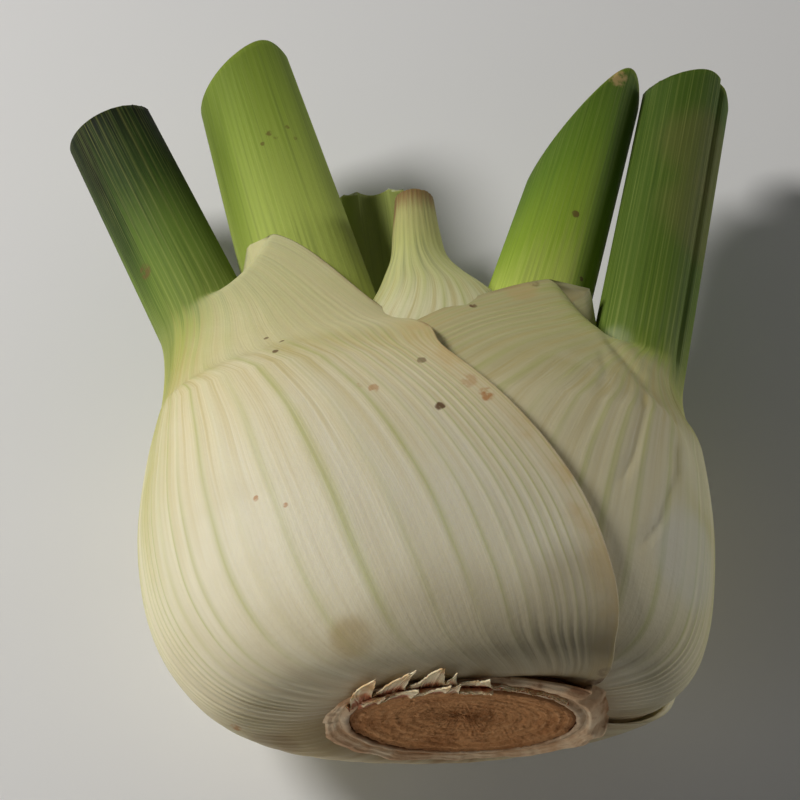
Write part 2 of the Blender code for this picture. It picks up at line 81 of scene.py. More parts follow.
def picture_place(points):
    """Where points fall in the picture, in pixels from its top left corner."""
    offset = points - CAMERA_TARGET
    depth = CAMERA_DISTANCE + offset @ FORWARD
    scale = PICTURE * CAMERA_DISTANCE / VIEW_WIDTH / depth
    return PICTURE / 2 + offset[..., 0] * scale, PICTURE / 2 - (offset @ PICTURE_UP) * scale


print("camera lens:", round(add_camera().data.lens, 1), "mm;", round(MM_PER_PIXEL, 4), "mm per pixel")

# %% [markdown]
# Floor and light
#
# The floor is plain and pale. One large, soft light stands high at the left, so the left flank is bright
# from neck to root while the root end and the right side fall into shade. A weak, low light from the
# front left keeps the brown root readable, and another gives the right flank a soft edge.

# %% Floor, lights and world
FLOOR_HALF = 1.5
FLOOR_COLOUR = (0.80, 0.80, 0.80, 1)
FLOOR_ROUGHNESS = 0.9
LIGHTS_AIM = Vector((0, 0, 0.03))
# Each light's place and size in metres, its power in watts and its colour
LIGHTS = {
    "key_light": ((-0.59, 0.20, 0.60), 0.26, 5.2, (1.0, 0.98, 0.95)),
    "front_light": ((-0.88, -0.36, 0.12), 0.4, 2.0, (1.0, 0.97, 0.93)),
    "side_light": ((0.92, 0.34, 0.11), 0.3, 2.9, (1.0, 0.98, 0.95)),
}
SKY_STRENGTH = 0.06


def add_floor():
    mesh = bpy.data.meshes.new("floor")
    corners = [(x * FLOOR_HALF, y * FLOOR_HALF, 0) for x, y in ((-1, -1), (1, -1), (1, 1), (-1, 1))]
    mesh.from_pydata(corners, [], [(0, 1, 2, 3)])
    floor = bpy.data.objects.new("floor", mesh)
    bpy.context.scene.collection.objects.link(floor)
    paint = bpy.data.materials.new("floor_paint")
    paint.use_nodes = True
    shader = paint.node_tree.nodes["Principled BSDF"]
    shader.inputs["Base Color"].default_value = FLOOR_COLOUR
    shader.inputs["Roughness"].default_value = FLOOR_ROUGHNESS
    mesh.materials.append(paint)


def add_area_light(name, place, size, power, colour):
    light = bpy.data.lights.new(name, "AREA")
    light.shape = "DISK"
    light.size = size
    light.energy = power
    light.color = colour
    lamp = bpy.data.objects.new(name, light)
    bpy.context.scene.collection.objects.link(lamp)
    lamp.location = place
    lamp.rotation_euler = (LIGHTS_AIM - Vector(place)).to_track_quat("-Z", "Y").to_euler()


def add_sky():
    sky = bpy.data.worlds.new("sky")
    bpy.context.scene.world = sky
    sky.use_nodes = True
    background = sky.node_tree.nodes["Background"]
    background.inputs["Color"].default_value = (1, 1, 1, 1)
    background.inputs["Strength"].default_value = SKY_STRENGTH


add_floor()
for light_name, light_values in LIGHTS.items():
    add_area_light(light_name, *light_values)
add_sky()
bpy.context.scene.view_settings.view_transform = "Standard"
print("lights:", list(LIGHTS))

# %% [markdown]
# The shape of one leaf
#
# A leaf could be sculpted, but then its five neighbours would each have to be sculpted to fit it. A
# formula is easier: a leaf is a grid. One direction runs across it, from -1 at its back margin over 0 at
# its keel to 1 at its front margin. The other is the reach: 0 to 1 climbs the round sheath, 1 to 2
# gathers it at the neck, and 2 to 3 follows the stalk. The bulb is a pile of rings, and each leaf layer
# is a little narrower and flatter than the one outside it. Everything is worked out in the bulb's own
# frame (x right, y up the axis, z to the front) and laid on its back at the end.


# %% Small helpers for curves
def smooth(value, low=0.0, high=1.0):
    """0 below low, 1 above high, and an S-shaped rise between."""
    share = np.clip((value - low) / (high - low), 0, 1)
    return share * share * (3 - 2 * share)


def mix(a, b, share):
    return a + (b - a) * share


def through(points, place):
    """A smooth (Catmull-Rom) curve through equally spaced values, read at places counted in points."""
    points = np.asarray(points, float)
    last = len(points) - 1
    place = np.clip(place, 0, last)
    index = np.minimum(place.astype(int), last - 1)
    share = (place - index).reshape(place.shape + (1,) * (points.ndim - 1))
    before, a, b, after = (points[np.clip(index + step, 0, last)] for step in (-1, 0, 1, 2))
    slope_a, slope_b = (b - before) / 2, (after - a) / 2
    square, cube = share**2, share**3
    curve = (2 * cube - 3 * square + 1) * a + (cube - 2 * square + share) * slope_a
    return curve + (3 * square - 2 * cube) * b + (cube - square) * slope_b


WANDER_STEPS = 256


def wander(places, scale, seed):
    """Smooth random wandering between -1 and 1 along the given places."""
    steps = np.random.default_rng(seed).uniform(-1, 1, WANDER_STEPS)
    places = np.asarray(places, float) / scale
    index = np.floor(places).astype(int)
    return mix(steps[index % WANDER_STEPS], steps[(index + 1) % WANDER_STEPS], smooth(places - index))


print("helpers ready; a test of wander:", round(float(wander(0.3, 1.0, 1)), 3))

# %% The rings of the bulb
HALF_WIDTH = 55.0 * MM
HALF_DEPTH = 34.0 * MM
NECK_HEIGHT = 78.0 * MM
LEAF_GAP = 0.9 * MM
MARGIN_THICKNESS = 1.3 * MM
STALK_WALL = 3.0 * MM
STALK_GROOVE = 1.6 * MM
AXIS_HEIGHT = 31.9 * MM
LYING_PITCH = math.radians(-3.0)
SEAT_ALONG_AXIS = 50.0 * MM

# Shares of the half width, front half depth and neck height, sideways shift, and the rear depth's share
RINGS = (
    (0.405, 0.40, 0.026, 0.098, 0.40),
    (0.54, 0.55, 0.010, 0.075, 0.47),
    (0.73, 0.73, 0.035, 0.055, 0.54),
    (0.87, 0.86, 0.115, 0.035, 0.69),
    (0.96, 0.935, 0.256, 0.012, 0.86),
    (1.00, 0.99, 0.462, 0.0, 0.975),
    (0.985, 0.985, 0.667, 0.0, 1.00),
    (0.945, 0.86, 0.846, 0.0, 0.92),
    (0.90, 0.65, 1.000, 0.0, 0.68),
    (0.87, 0.47, 1.154, 0.0, 0.47),
    (0.84, 0.36, 1.308, 0.0, 0.36),
)
RING_STEP = 0.05
# Each layer: how much narrower, shifted, its share of the depth, how much higher, its share of the lobes
LAYERS = (
    (0.0 * MM, 0.0 * MM, 1.00, 0.0 * MM, 1.0),
    (4.5 * MM, 2.4 * MM, 0.89, 3.6 * MM, 0.6),
    (9.0 * MM, 0.4 * MM, 0.79, 7.2 * MM, 0.3),
    (13.0 * MM, 2.0 * MM, 0.69, 10.8 * MM, 0.1),
    (17.0 * MM, 0.0 * MM, 0.60, 14.0 * MM, 0.0),
    (20.0 * MM, 0.0 * MM, 0.53, 16.5 * MM, 0.0),
)
# Lobes that hang below the underside: azimuth, spread and depth
LOBES = (
    (math.radians(-30), math.radians(50), 2.2 * MM),
    (math.radians(205), math.radians(45), 1.0 * MM),
)
LOBE_RING = 1.5
LOBE_RINGS_WIDE = 1.5


def ring(place, layer, grow=0.0):
    """A layer's rings at ring places: middle x, height, half width, front half depth, rear half depth."""
    columns = np.array(RINGS).T
    width, depth, height, shift, rear = (through(column, place) for column in columns)
    rise = through(columns[2], place + RING_STEP) - through(columns[2], place - RING_STEP)
    spread = through(columns[0], place + RING_STEP) - through(columns[0], place - RING_STEP)
    length = np.hypot(rise * NECK_HEIGHT, spread * HALF_WIDTH)
    outward = np.clip(rise * NECK_HEIGHT / length, 0, 1)
    downward = np.clip(spread * HALF_WIDTH / length, 0, 1)
    narrower, aside, depth_share, higher, _ = LAYERS[layer]
    half_width = width * HALF_WIDTH + (grow - narrower) * outward
    layer_depth = HALF_DEPTH * mix(1, depth_share, outward)
    middle = shift * HALF_WIDTH + aside * outward
    y = height * NECK_HEIGHT + (higher - grow) * downward
    return middle, y, half_width, depth * layer_depth + grow * outward, rear * layer_depth + grow * outward


def oval(azimuth, middle, y, half_width, front_depth, rear_depth):
    """Points of a ring whose front and rear halves have their own depths."""
    depth = np.where(np.sin(azimuth) > 0, front_depth, rear_depth)
    x = middle - half_width * np.cos(azimuth)
    return np.stack([x, np.broadcast_to(y, x.shape), depth * np.sin(azimuth)], axis=-1)


def lobe_dip(azimuth, place, layer):
    """How far the underside's lobes hang below a layer's ring there."""
    along = np.exp(-(((place - LOBE_RING) / LOBE_RINGS_WIDE) ** 2))
    dip = 0.0
    for middle, spread, depth in LOBES:
        turn = np.mod(azimuth - middle + math.pi, math.tau) - math.pi
        dip = dip + depth * np.exp(-((turn / spread) ** 2))
    return dip * along * LAYERS[layer][4]


def lie_down(points):
    """From the bulb's frame to the surface it lies on, flattened where it touches."""
    y = points[..., 1] - SEAT_ALONG_AXIS
    z = points[..., 2]
    turned_y = y * math.cos(LYING_PITCH) - z * math.sin(LYING_PITCH)
    turned_z = y * math.sin(LYING_PITCH) + z * math.cos(LYING_PITCH) + AXIS_HEIGHT
    return np.stack([points[..., 0], turned_y, np.maximum(turned_z, 0.0)], axis=-1)


belly = ring(np.array([5.0]), 0)
print("belly half width:", round(float(belly[2][0]) / MM, 1), "mm")

# %% The values of the five leaves
LEAVES = {
    "leaf_left_outer": dict(
        layer=0, keel=0, turn=1,
        front=((0, 155), (1, 149), (2, 133), (4, 125), (5, 116), (6, 101), (7, 86), (8, 76), (9, 66)),
        back=((0, 165), (2, 158), (4, 148), (5, 142), (6, 136), (7, 122), (8, 92), (9, 62)),
        gather=(6.7, 8.6), foot=(-44.0, 88.0, 0.0), tip=(-64.2, 133.0, 0.0),
        foot_size=(9.0, 9.6), tip_size=(8.4, 8.6), stalk_wrap=124, twist=26, swell=3.0,
        lift=(12.0, 7.0, 1.5, 1.86, 6.0), cut=(0.0, 0.0, 0.0), furrow=0.0, ribs=(13, 35, 60), lean=0.21,
    ),
    "leaf_right_outer": dict(
        layer=1, keel=180, turn=-1,
        front=((0, 165), (2, 155), (4, 148), (5, 140), (6, 124), (7, 106), (8, 90), (9, 78)),
        back=((0, 165), (2, 155), (4, 148), (5, 138), (6, 118), (7, 98), (8, 84), (9, 72)),
        gather=(6.2, 7.9), foot=(39.4, 77.0, 0.0), tip=(52.0, 142.5, 0.0),
        foot_size=(9.8, 9.6), tip_size=(9.1, 8.8), stalk_wrap=126, twist=26, swell=0.3,
        lift=(16.0, 9.0, 1.05, 1.78, 4.5), cut=(4.6, 0.0, 6.5), furrow=0.9, ribs=(15, 30, 45), lean=0.08,
    ),
    "leaf_left_inner": dict(
        layer=2, keel=0, turn=1,
        front=((0, 160), (2, 110), (4, 64), (6, 60), (9, 60)),
        back=((0, 160), (4, 145), (6, 125), (7, 105), (8, 90), (9, 80)),
        gather=(6.2, 8.2), foot=(-20.0, 81.0, 1.0), tip=(-37.7, 144.8, 2.0),
        foot_size=(12.6, 10.4), tip_size=(10.0, 9.2), stalk_wrap=124, twist=30, swell=0.0,
        lift=(3.0, 6.0, 1.05, 1.6, 0.0), cut=(5.2, 1.5, 7.0), furrow=0.0, ribs=(16, 8, 8), lean=0.0,
    ),
    "leaf_right_inner": dict(
        layer=3, keel=180, turn=-1,
        front=((0, 150), (2, 100), (4, 62), (6, 58), (9, 58)),
        back=((0, 160), (4, 145), (6, 125), (7, 108), (8, 95), (9, 85)),
        gather=(6.2, 8.2), foot=(18.0, 81.0, 1.0), tip=(31.6, 132.0, 2.0),
        foot_size=(10.4, 9.6), tip_size=(8.6, 8.2), stalk_wrap=126, twist=34, swell=0.0,
        lift=(2.0, 6.0, 1.05, 1.7, 0.0), cut=(19.0, 4.0, 11.0), furrow=0.0, ribs=(15, 8, 8), lean=0.0,
    ),
    "leaf_back_short": dict(
        layer=4, keel=-90, turn=1,
        front=((0, 100), (6, 95), (8, 80), (9, 70)), back=((0, 100), (6, 95), (8, 80), (9, 70)),
        gather=(6.6, 8.4), foot=(-7.0, 84.0, -8.0), tip=(-11.5, 123.0, -8.5),
        foot_size=(8.0, 4.6), tip_size=(7.2, 4.2), stalk_wrap=120, twist=0, swell=0.0,
        lift=(0.0, 0.0, 1.05, 1.7, 0.0), cut=(0.0, 0.0, 0.0), furrow=0.0, ribs=(12, 4, 4), lean=0.0,
    ),
}
# The cross-section's own values, the same for every leaf
MARGIN_THINS_FROM = 0.55
STALK_FILLS_FROM = 0.6
DEPTH_GATHERS_LATE = 1.7
AURICLE_POWER = 3
CORNER_POWER = 4
GROOVE_OFFSET = 0.6 * MM
GROOVE_WIDTH_SHARE = 0.86
GROOVE_FROM = 0.25
FURROW_ACROSS = 0.07
FURROW_WIDTH = 0.04
FURROW_REACH = (1.8, 2.1)
LEAN_BEGINS = (0.85, 1.6)
LEAN_ENDS = (1.6, 2.05)
print(len(LEAVES), "leaves, outermost first")

# %% [markdown]
# From the values to a surface
#
# At every reach the leaf has a cross-section: an ellipse round the bulb below, a rod with a flat side
# above, and a blend of the two at the neck. Working on whole grids with numpy instead of point by point
# makes fifty thousand points as quick as fifty.


# %% The surface of a leaf
def margin_turn(pairs, place):
    """The margin's azimuth from the keel at ring places, with the corners of the table rounded off."""
    places, turns = zip(*pairs)
    offsets = np.linspace(-0.5, 0.5, 7)
    return sum(np.interp(place + offset, places, turns) for offset in offsets) / len(offsets)


def lean_of_veins(leaf, across, reach):
    """Lets the veins lean towards the keel at the neck, where they sweep into the stalk."""
    side = np.where(across > 0, 1.0, 0.5) * across * (1 - np.abs(across)) * 4
    return across - leaf["lean"] * side * smooth(reach, *LEAN_BEGINS) * (1 - smooth(reach, *LEAN_ENDS))


def leaf_surface(leaf, across, reach, inside):
    """Points of a leaf's outer or inner face: one row for each reach, one column for each vein."""
    reach = reach[:, None]
    across = lean_of_veins(leaf, across[None, :], reach)
    layer = leaf["layer"]
    start, end = leaf["gather"]
    foot = np.array(leaf["foot"]) * MM
    tip = np.array(leaf["tip"]) * MM
    length = np.linalg.norm(tip - foot)
    up = (tip - foot) / length
    place = np.where(reach <= 1, start * reach, mix(start, end, np.clip(reach - 1, 0, 1)))
    gathered = smooth(reach, 1, 2)
    climbed = np.clip(reach - 2, 0, 1)
    drop = foot[1] - ring(np.array([start]), layer)[1][0]
    way = np.where(reach <= 2, drop / up[1], length) * (reach - 2)
    stalk_middle = foot + up * way[..., None]

    wrap = np.where(across > 0, margin_turn(leaf["front"], place), margin_turn(leaf["back"], place))
    wrap = mix(wrap, leaf["stalk_wrap"], gathered)
    keel = np.radians(leaf["keel"] + leaf["turn"] * leaf["twist"] * gathered)
    azimuth = keel + np.radians(leaf["turn"] * across * wrap)
    out_x, out_z = -np.cos(azimuth), np.sin(azimuth)
    outward = np.stack([out_x, np.zeros_like(out_x), out_z], axis=-1)
    stalk_width = mix(leaf["foot_size"][0], leaf["tip_size"][0], climbed) * MM
    stalk_depth = mix(leaf["foot_size"][1], leaf["tip_size"][1], climbed) * MM
    swell = leaf["swell"] * MM * 4 * gathered * (1 - gathered)

    def section(of_layer, grow, wall):
        """The section between this layer's sheath and the stalk, with this wall left outside it there."""
        middle_x, height, half_width, front_depth, rear_depth = ring(place, of_layer, grow)
        half_depth = np.where(out_z > 0, front_depth, rear_depth)
        x = out_x * (mix(half_width, stalk_width - wall, gathered) + swell)
        z = out_z * mix(half_depth, stalk_depth - wall, gathered**DEPTH_GATHERS_LATE)
        y = -gathered * (x * up[0] + z * up[2]) / up[1] - lobe_dip(azimuth, place, of_layer) * (1 - gathered)
        middle = np.stack(np.broadcast_arrays(middle_x, height, 0.0 * height), axis=-1)
        return np.stack([x, y, z], axis=-1) + mix(middle, stalk_middle, gathered[..., None])

    inner = section(layer + 1, LEAF_GAP, STALK_WALL)
    outer = section(layer, 0.0, 0.0)
    full = 1 - smooth(np.abs(across), MARGIN_THINS_FROM, 1.0)
    thin = inner + outward * MARGIN_THICKNESS
    outer = mix(thin, outer, np.maximum(full, smooth(gathered, STALK_FILLS_FROM, 1.0))[..., None])
    if inside:
        keel_x, keel_z = -np.cos(keel), np.sin(keel)
        half_wrap = math.radians(leaf["stalk_wrap"])
        along_keel = stalk_width * math.cos(half_wrap) + STALK_GROOVE * (1 - across**2) + GROOVE_OFFSET
        sideways = stalk_depth * math.sin(half_wrap) * across * GROOVE_WIDTH_SHARE
        x = keel_x * along_keel + np.sin(keel) * leaf["turn"] * sideways
        z = keel_z * along_keel + np.cos(keel) * leaf["turn"] * sideways
        chord = stalk_middle + np.stack([x, -(x * up[0] + z * up[2]) / up[1], z], axis=-1)
        points = mix(inner, chord, smooth(gathered, GROOVE_FROM, 1.0)[..., None])
    else:
        beside_furrow = (across - FURROW_ACROSS) / FURROW_WIDTH
        furrow = leaf["furrow"] * MM * np.exp(-(beside_furrow**2)) * smooth(reach, *FURROW_REACH)
        points = outer - outward * furrow[..., None]

    front_lift, back_lift, lift_start, peak, forward = leaf["lift"]
    bump = smooth(reach, lift_start, peak) * (1 - smooth(reach, peak, 2.0)) * np.abs(across) ** AURICLE_POWER
    points[..., 1] += np.where(across > 0, front_lift, back_lift) * MM * bump
    points[..., 2] += np.where(across > 0, forward, 0.0) * MM * bump
    to_right, to_front, corner = leaf["cut"]
    right_share = (points[..., 0] - stalk_middle[..., 0]) / stalk_width
    front_share = (points[..., 2] - stalk_middle[..., 2]) / stalk_depth
    slant = to_right * right_share + to_front * front_share
    slant = slant - corner * np.maximum(right_share, 0) ** CORNER_POWER
    return points + up * (climbed * slant * MM)[..., None]


# %% [markdown]
# Ribs
#
# The ribs of fennel are its veins. They stand close at the keel and at the margin and far apart between,
# so a rib's place across the leaf comes from a running count: where the count rises fast, ribs are
# close. The columns of the mesh are spread by the same count, six to a rib, so every rib gets the same
# number of points however narrow it is, and none is wasted on the smooth parts.

# %% The count of ribs and the columns of the mesh
COLUMNS_PER_RIB = 6
KEEL_RIBS_WIDTH = 0.22
MARGIN_RIBS = (0.70, 0.97)
UNEVEN_RIBS = 0.45
FINE = np.linspace(-1, 1, 2001)


def rib_count(across, ribs):
    """The running count of ribs from the back margin: an even share, more at the keel and the margins."""
    even, at_keel, at_margin = ribs
    density = even + at_keel * np.exp(-((FINE / KEEL_RIBS_WIDTH) ** 2))
    density = density + at_margin * smooth(np.abs(FINE), *MARGIN_RIBS)
    density = density * (1 + UNEVEN_RIBS * wander(FINE + 2, 0.045, sum(ribs)))
    count = np.concatenate([[0], np.cumsum((density[1:] + density[:-1]) / 2 * np.diff(FINE))])
    return np.interp(across, FINE, count)


def columns_of(ribs):
    count = rib_count(FINE, ribs)
    number = int(round(count[-1] * COLUMNS_PER_RIB))
    return np.interp(np.linspace(0, count[-1], number + 1), count, FINE)


SHEATH_ROWS, GATHER_ROWS, STALK_ROWS = 88, 72, 46
SHEATH_CROWDS = 0.9
GATHER_CROWDS = 0.75
REACHES = np.concatenate([
    (np.arange(SHEATH_ROWS) / SHEATH_ROWS) ** SHEATH_CROWDS,
    1 + (np.arange(GATHER_ROWS) / GATHER_ROWS) ** GATHER_CROWDS,
    2 + np.arange(STALK_ROWS + 1) / STALK_ROWS,
])
print("columns of the outer leaf:", len(columns_of(LEAVES["leaf_left_outer"]["ribs"])), "rows:", len(REACHES))

# %% Relief of the ribs
# Height of the ribs in mm on the sheath, at its keel, at its margins and on the stalk
RIB_HEIGHTS = {
    "leaf_left_outer": (0.05, 0.15, 0.07, 0.012),
    "leaf_right_outer": (0.06, 0.12, 0.08, 0.012),
    "leaf_left_inner": (0.05, 0.06, 0.05, 0.015),
    "leaf_right_inner": (0.05, 0.06, 0.05, 0.012),
    "leaf_back_short": (0.04, 0.04, 0.04, 0.02),
}
HIGH_RIBS_WIDTH = 0.26
# Distances from the front margin, in mm, between which the ribs rise out of its smooth band
SMOOTH_BAND = (3.0, 6.5)
SMOOTH_EDGE = (0.965, 0.975)


def grid_normals(points, turn):
    """Normals of a grid of points, pointing out of the leaf."""
    normal = np.cross(np.gradient(points, axis=1), np.gradient(points, axis=0)) * turn
    return normal / np.maximum(np.linalg.norm(normal, axis=-1, keepdims=True), 1e-12)


def rib_relief(name, across, reach):
    """The height of the ribs on a grid, and a value from -1 in a furrow to 1 on a crest."""
    count = rib_count(across, LEAVES[name]["ribs"])
    wave = np.cos(math.tau * count)
    strength = 1 + 0.45 * wander(count, 1.7, len(name))[None, :]
    along = 1 + 0.35 * wander(reach, 0.11, 3)[:, None]
    sheath_height, keel_height, margin_height, stalk_height = RIB_HEIGHTS[name]
    at_keel = np.exp(-((across / HIGH_RIBS_WIDTH) ** 2))[None, :]
    at_margin = smooth(np.abs(across), *MARGIN_RIBS)[None, :]
    height = mix(mix(sheath_height, keel_height, at_keel), margin_height, at_margin)
    height = height * smooth(reach, 0.02, 0.3)[:, None]
    height = mix(height, stalk_height, smooth(reach, 1.2, 1.9)[:, None])
    fade = (1 - smooth(np.abs(across), *SMOOTH_EDGE)[None, :]) * (1 - smooth(reach, 2.9, 3.0)[:, None])
    return height * MM * wave[None, :] * strength * along * fade, np.tile(wave, (len(reach), 1))


print("rib heights on the sheath:", {name: heights[0] for name, heights in RIB_HEIGHTS.items()}, "mm")

# %% [markdown]
# Creases
#
# The right outer leaf was squeezed as it grew, and deep creases cross its shoulder. Each crease is a
# short line of picture places. The grid's points are projected into the picture, and a point near the
# line on the side that faces the camera is pressed in, with a soft raised lip beside the furrow.

# %% Creases of the right outer leaf
CREASES = (
    # points in the picture, depth and width in mm
    (((597, 325), (620, 352), (644, 382), (668, 406), (683, 425), (704, 475)), 0.75, 0.75),
    (((640, 385), (645, 410), (635, 450), (612, 500)), 0.4, 0.75),
    (((675, 430), (675, 470), (660, 520), (628, 560)), 0.45, 0.75),
    (((600, 340), (606, 370), (600, 410), (585, 440)), 0.2, 0.7),
    (((655, 340), (668, 375), (690, 420)), 0.2, 0.8),
)
LIP_HEIGHT = 0.15
LIP_PLACE = 2.4
FACING_FROM = 0.15


def distance_to_line(x, y, line):
    """Distance in pixels from places in the picture to a line of points, and how far along it they are."""
    best = np.full(x.shape, 1e9)
    along = np.zeros(x.shape)
    for number, ((ax, ay), (bx, by)) in enumerate(zip(line, line[1:])):
        share = ((x - ax) * (bx - ax) + (y - ay) * (by - ay)) / ((bx - ax) ** 2 + (by - ay) ** 2)
        share = np.clip(share, 0, 1)
        away = np.hypot(x - ax - share * (bx - ax), y - ay - share * (by - ay))
        along = np.where(away < best, (number + share) / (len(line) - 1), along)
        best = np.minimum(best, away)
    return best, along


def crease_relief(points, normals):
    x, y = picture_place(lie_down(points))
    facing = normals[..., 2] > FACING_FROM
    relief = np.zeros(x.shape)
    for line, depth, width in CREASES:
        away, along = distance_to_line(x, y, line)
        away = away * MM_PER_PIXEL / width
        fade = smooth(along, 0.0, 0.18) * (1 - smooth(along, 0.75, 1.0))
        furrow = LIP_HEIGHT * np.exp(-((away - LIP_PLACE) ** 2)) - np.exp(-(away**2))
        relief += depth * MM * furrow * fade * facing
    return relief


print(len(CREASES), "creases")

# %% [markdown]
# From the surface to a mesh
#
# The outer face carries all the detail. The inner face is mostly hidden, so it keeps only every fifth
# row. The two are joined at the margins, along the base and over the cut end, so the leaf is a closed
# body. The values that the material needs later, such as the place across or the rib, are stored on the
# points as named attributes: unlike a picture, they can't slip or blur.


# %% Helpers for meshes
def make_object(name, points, faces, attributes):
    mesh = bpy.data.meshes.new(name)
    mesh.from_pydata(lie_down(points).tolist(), [], faces)
    for attribute, values in attributes.items():
        layer = mesh.attributes.new(attribute, "FLOAT", "POINT")
        layer.data.foreach_set("value", np.ascontiguousarray(values, dtype=np.float32))
    mesh.validate()
    mesh.shade_smooth()
    made = bpy.data.objects.new(name, mesh)
    bpy.context.scene.collection.objects.link(made)
    return made


def wrapped(grid, axis=1):
    """A grid closed to a ring, by its first column or row repeated at the end."""
    return np.concatenate([grid, np.take(grid, [0], axis)], axis)


def grid_faces(index, turned=False):
    """Quads between the rows of a grid of point numbers."""
    corners = (index[:-1, :-1], index[:-1, 1:], index[1:, 1:], index[1:, :-1])
    quads = np.stack(corners, axis=-1).reshape(-1, 4)
    return (quads[:, ::-1] if turned else quads).tolist()


def fan_faces(line, hub, turned=False):
    """Triangles from a closed line of points to a hub in its middle."""
    pairs = zip(line.tolist(), np.roll(line, -1).tolist())
    return [[b, a, hub] if turned else [a, b, hub] for a, b in pairs]


def zip_faces(one, other, between, turned):
    """Triangles between two lines of points with different numbers; between lies on their last edge."""
    faces = []
    i = j = 0
    last_i, last_j = len(one) - 1, len(other) - 1
    while i < last_i or j < last_j:
        if j == last_j or (i < last_i and (i + 1) / last_i <= (j + 1) / last_j):
            face = [one[i], one[i + 1], other[j]]
            i += 1
        else:
            face = [one[i], other[j + 1], other[j]]
            j += 1
        if i == last_i and j == last_j:
            face = [one[-1], *between, other[-1], *[k for k in face if k not in (one[-1], other[-1])]]
        faces.append(face[::-1] if turned else face)
    return faces


print("a grid of 3 by 4 points has", len(grid_faces(np.arange(12).reshape(3, 4))), "faces")

# %% Building the mesh of a leaf
INNER_ROW_STEP = 5
CUT_ROWS = (0.02, 0.06, 0.14, 0.26, 0.40, 0.54, 0.68, 0.82, 0.94)


def distance_from_front(points):
    """Distance along each row from the front margin, in mm."""
    steps = np.linalg.norm(np.diff(points, axis=1), axis=-1)
    from_front = np.cumsum(steps[:, ::-1], axis=1)[:, ::-1]
    return np.concatenate([from_front, np.zeros((len(points), 1))], axis=1) / MM


def distance_from_base(points):
    """Distance along each column from the leaf's base at the root plate, in mm."""
    steps = np.linalg.norm(np.diff(points, axis=0), axis=-1)
    return np.concatenate([np.zeros((1, points.shape[1])), np.cumsum(steps, axis=0)]) / MM


def leaf_points(name):
    """The grids of a leaf: its outer face with all relief, its inner face, and the ribs' wave."""
    leaf = LEAVES[name]
    across = columns_of(leaf["ribs"])
    outer = leaf_surface(leaf, across, REACHES, False)
    normals = grid_normals(outer, leaf["turn"])
    relief, wave = rib_relief(name, across, REACHES)
    relief = relief * smooth(distance_from_front(outer), *SMOOTH_BAND)
    if name == "leaf_right_outer":
        relief = relief + crease_relief(outer, normals)
    outer = outer + normals * relief[..., None]
    kept = np.unique(np.append(np.arange(0, len(REACHES), INNER_ROW_STEP), len(REACHES) - 1))
    inner = leaf_surface(leaf, across, REACHES[kept], True)
    return across, outer, inner, kept, wave


def cut_end(leaf, across, outer_end, inner_end):
    """Rows of points over a stalk's cut end, a little hollow and rough."""
    foot, tip = np.array(leaf["foot"]), np.array(leaf["tip"])
    up = (tip - foot) / np.linalg.norm(tip - foot)
    rows = []
    for share in CUT_ROWS:
        rough = 0.16 * wander(across * 40 + share * 300, 1.0, 11) - 0.5 * (1 - abs(2 * share - 1)) ** 0.6
        rough = rough + 0.35 * smooth(share, 0.0, 0.06)
        rows.append(mix(outer_end, inner_end, share) + up * (rough * MM)[:, None])
    return rows


def build_leaf(name):
    leaf = LEAVES[name]
    across, outer, inner, kept, wave = leaf_points(name)
    rows, columns = outer.shape[:2]
    cut_rows = cut_end(leaf, across, outer[-1], inner[-1])
    points = np.concatenate([outer.reshape(-1, 3), inner.reshape(-1, 3), *cut_rows])
    index = np.arange(len(points)).reshape(-1, columns)
    outer_index, inner_index, cut_index = np.split(index, [rows, rows + len(kept)])
    turned = leaf["turn"] < 0
    faces = grid_faces(outer_index, turned) + grid_faces(inner_index, not turned)
    faces += grid_faces(np.vstack([outer_index[-1], cut_index, inner_index[-1]]), turned)
    faces += grid_faces(np.vstack([outer_index[0], inner_index[0]]), not turned)
    for column, side_turned in ((0, turned), (-1, not turned)):
        side = (numbers[:, column].tolist() for numbers in (outer_index, inner_index, cut_index))
        faces += zip_faces(*side, side_turned)

    grids = {
        "across": np.tile(across, (rows, 1)),
        "reach": np.tile(REACHES[:, None], (1, columns)),
        "edge": distance_from_front(outer),
        "root": distance_from_base(outer),
    }
    attributes = {
        key: np.concatenate([grid.ravel(), grid[kept].ravel(), np.tile(grid[-1], len(CUT_ROWS))])
        for key, grid in grids.items()
    }
    plain = np.full(len(points) - rows * columns, 0.5)
    attributes["rib"] = np.concatenate([wave.ravel() * 0.5 + 0.5, plain])
    depth_in = np.linalg.norm(outer[-1] - inner[-1], axis=-1) / MM
    uncut = np.zeros(len(points) - len(CUT_ROWS) * columns)
    attributes["cut"] = np.concatenate([uncut, *(share * depth_in for share in CUT_ROWS)])
    return make_object("fennel_" + name, points, faces, attributes)


leaf_pieces = {name: build_leaf(name) for name in LEAVES}
for name, piece in leaf_pieces.items():
    print(name, "faces:", len(piece.data.polygons))

# %% [markdown]
# The heart
#
# In the middle stands the youngest leaf, still closed, with a short cut stub. It is round, so it needs no
# margins: a pile of rings is enough. Its front fills the gap between the outer leaves at the neck, and
# its veins run up the shoulder and into the stub.

# %% The heart's rings
HEART_LAYER = 5
HEART_FRONT_LAYER = 2
HEART_FRONT = (math.radians(26), math.radians(52))
HEART_FRONT_PLACES = (2.0, 4.0)
HEART_PLACES = (0, 0.7, 1.4, 2.2, 3, 4, 5, 6, 6.8)
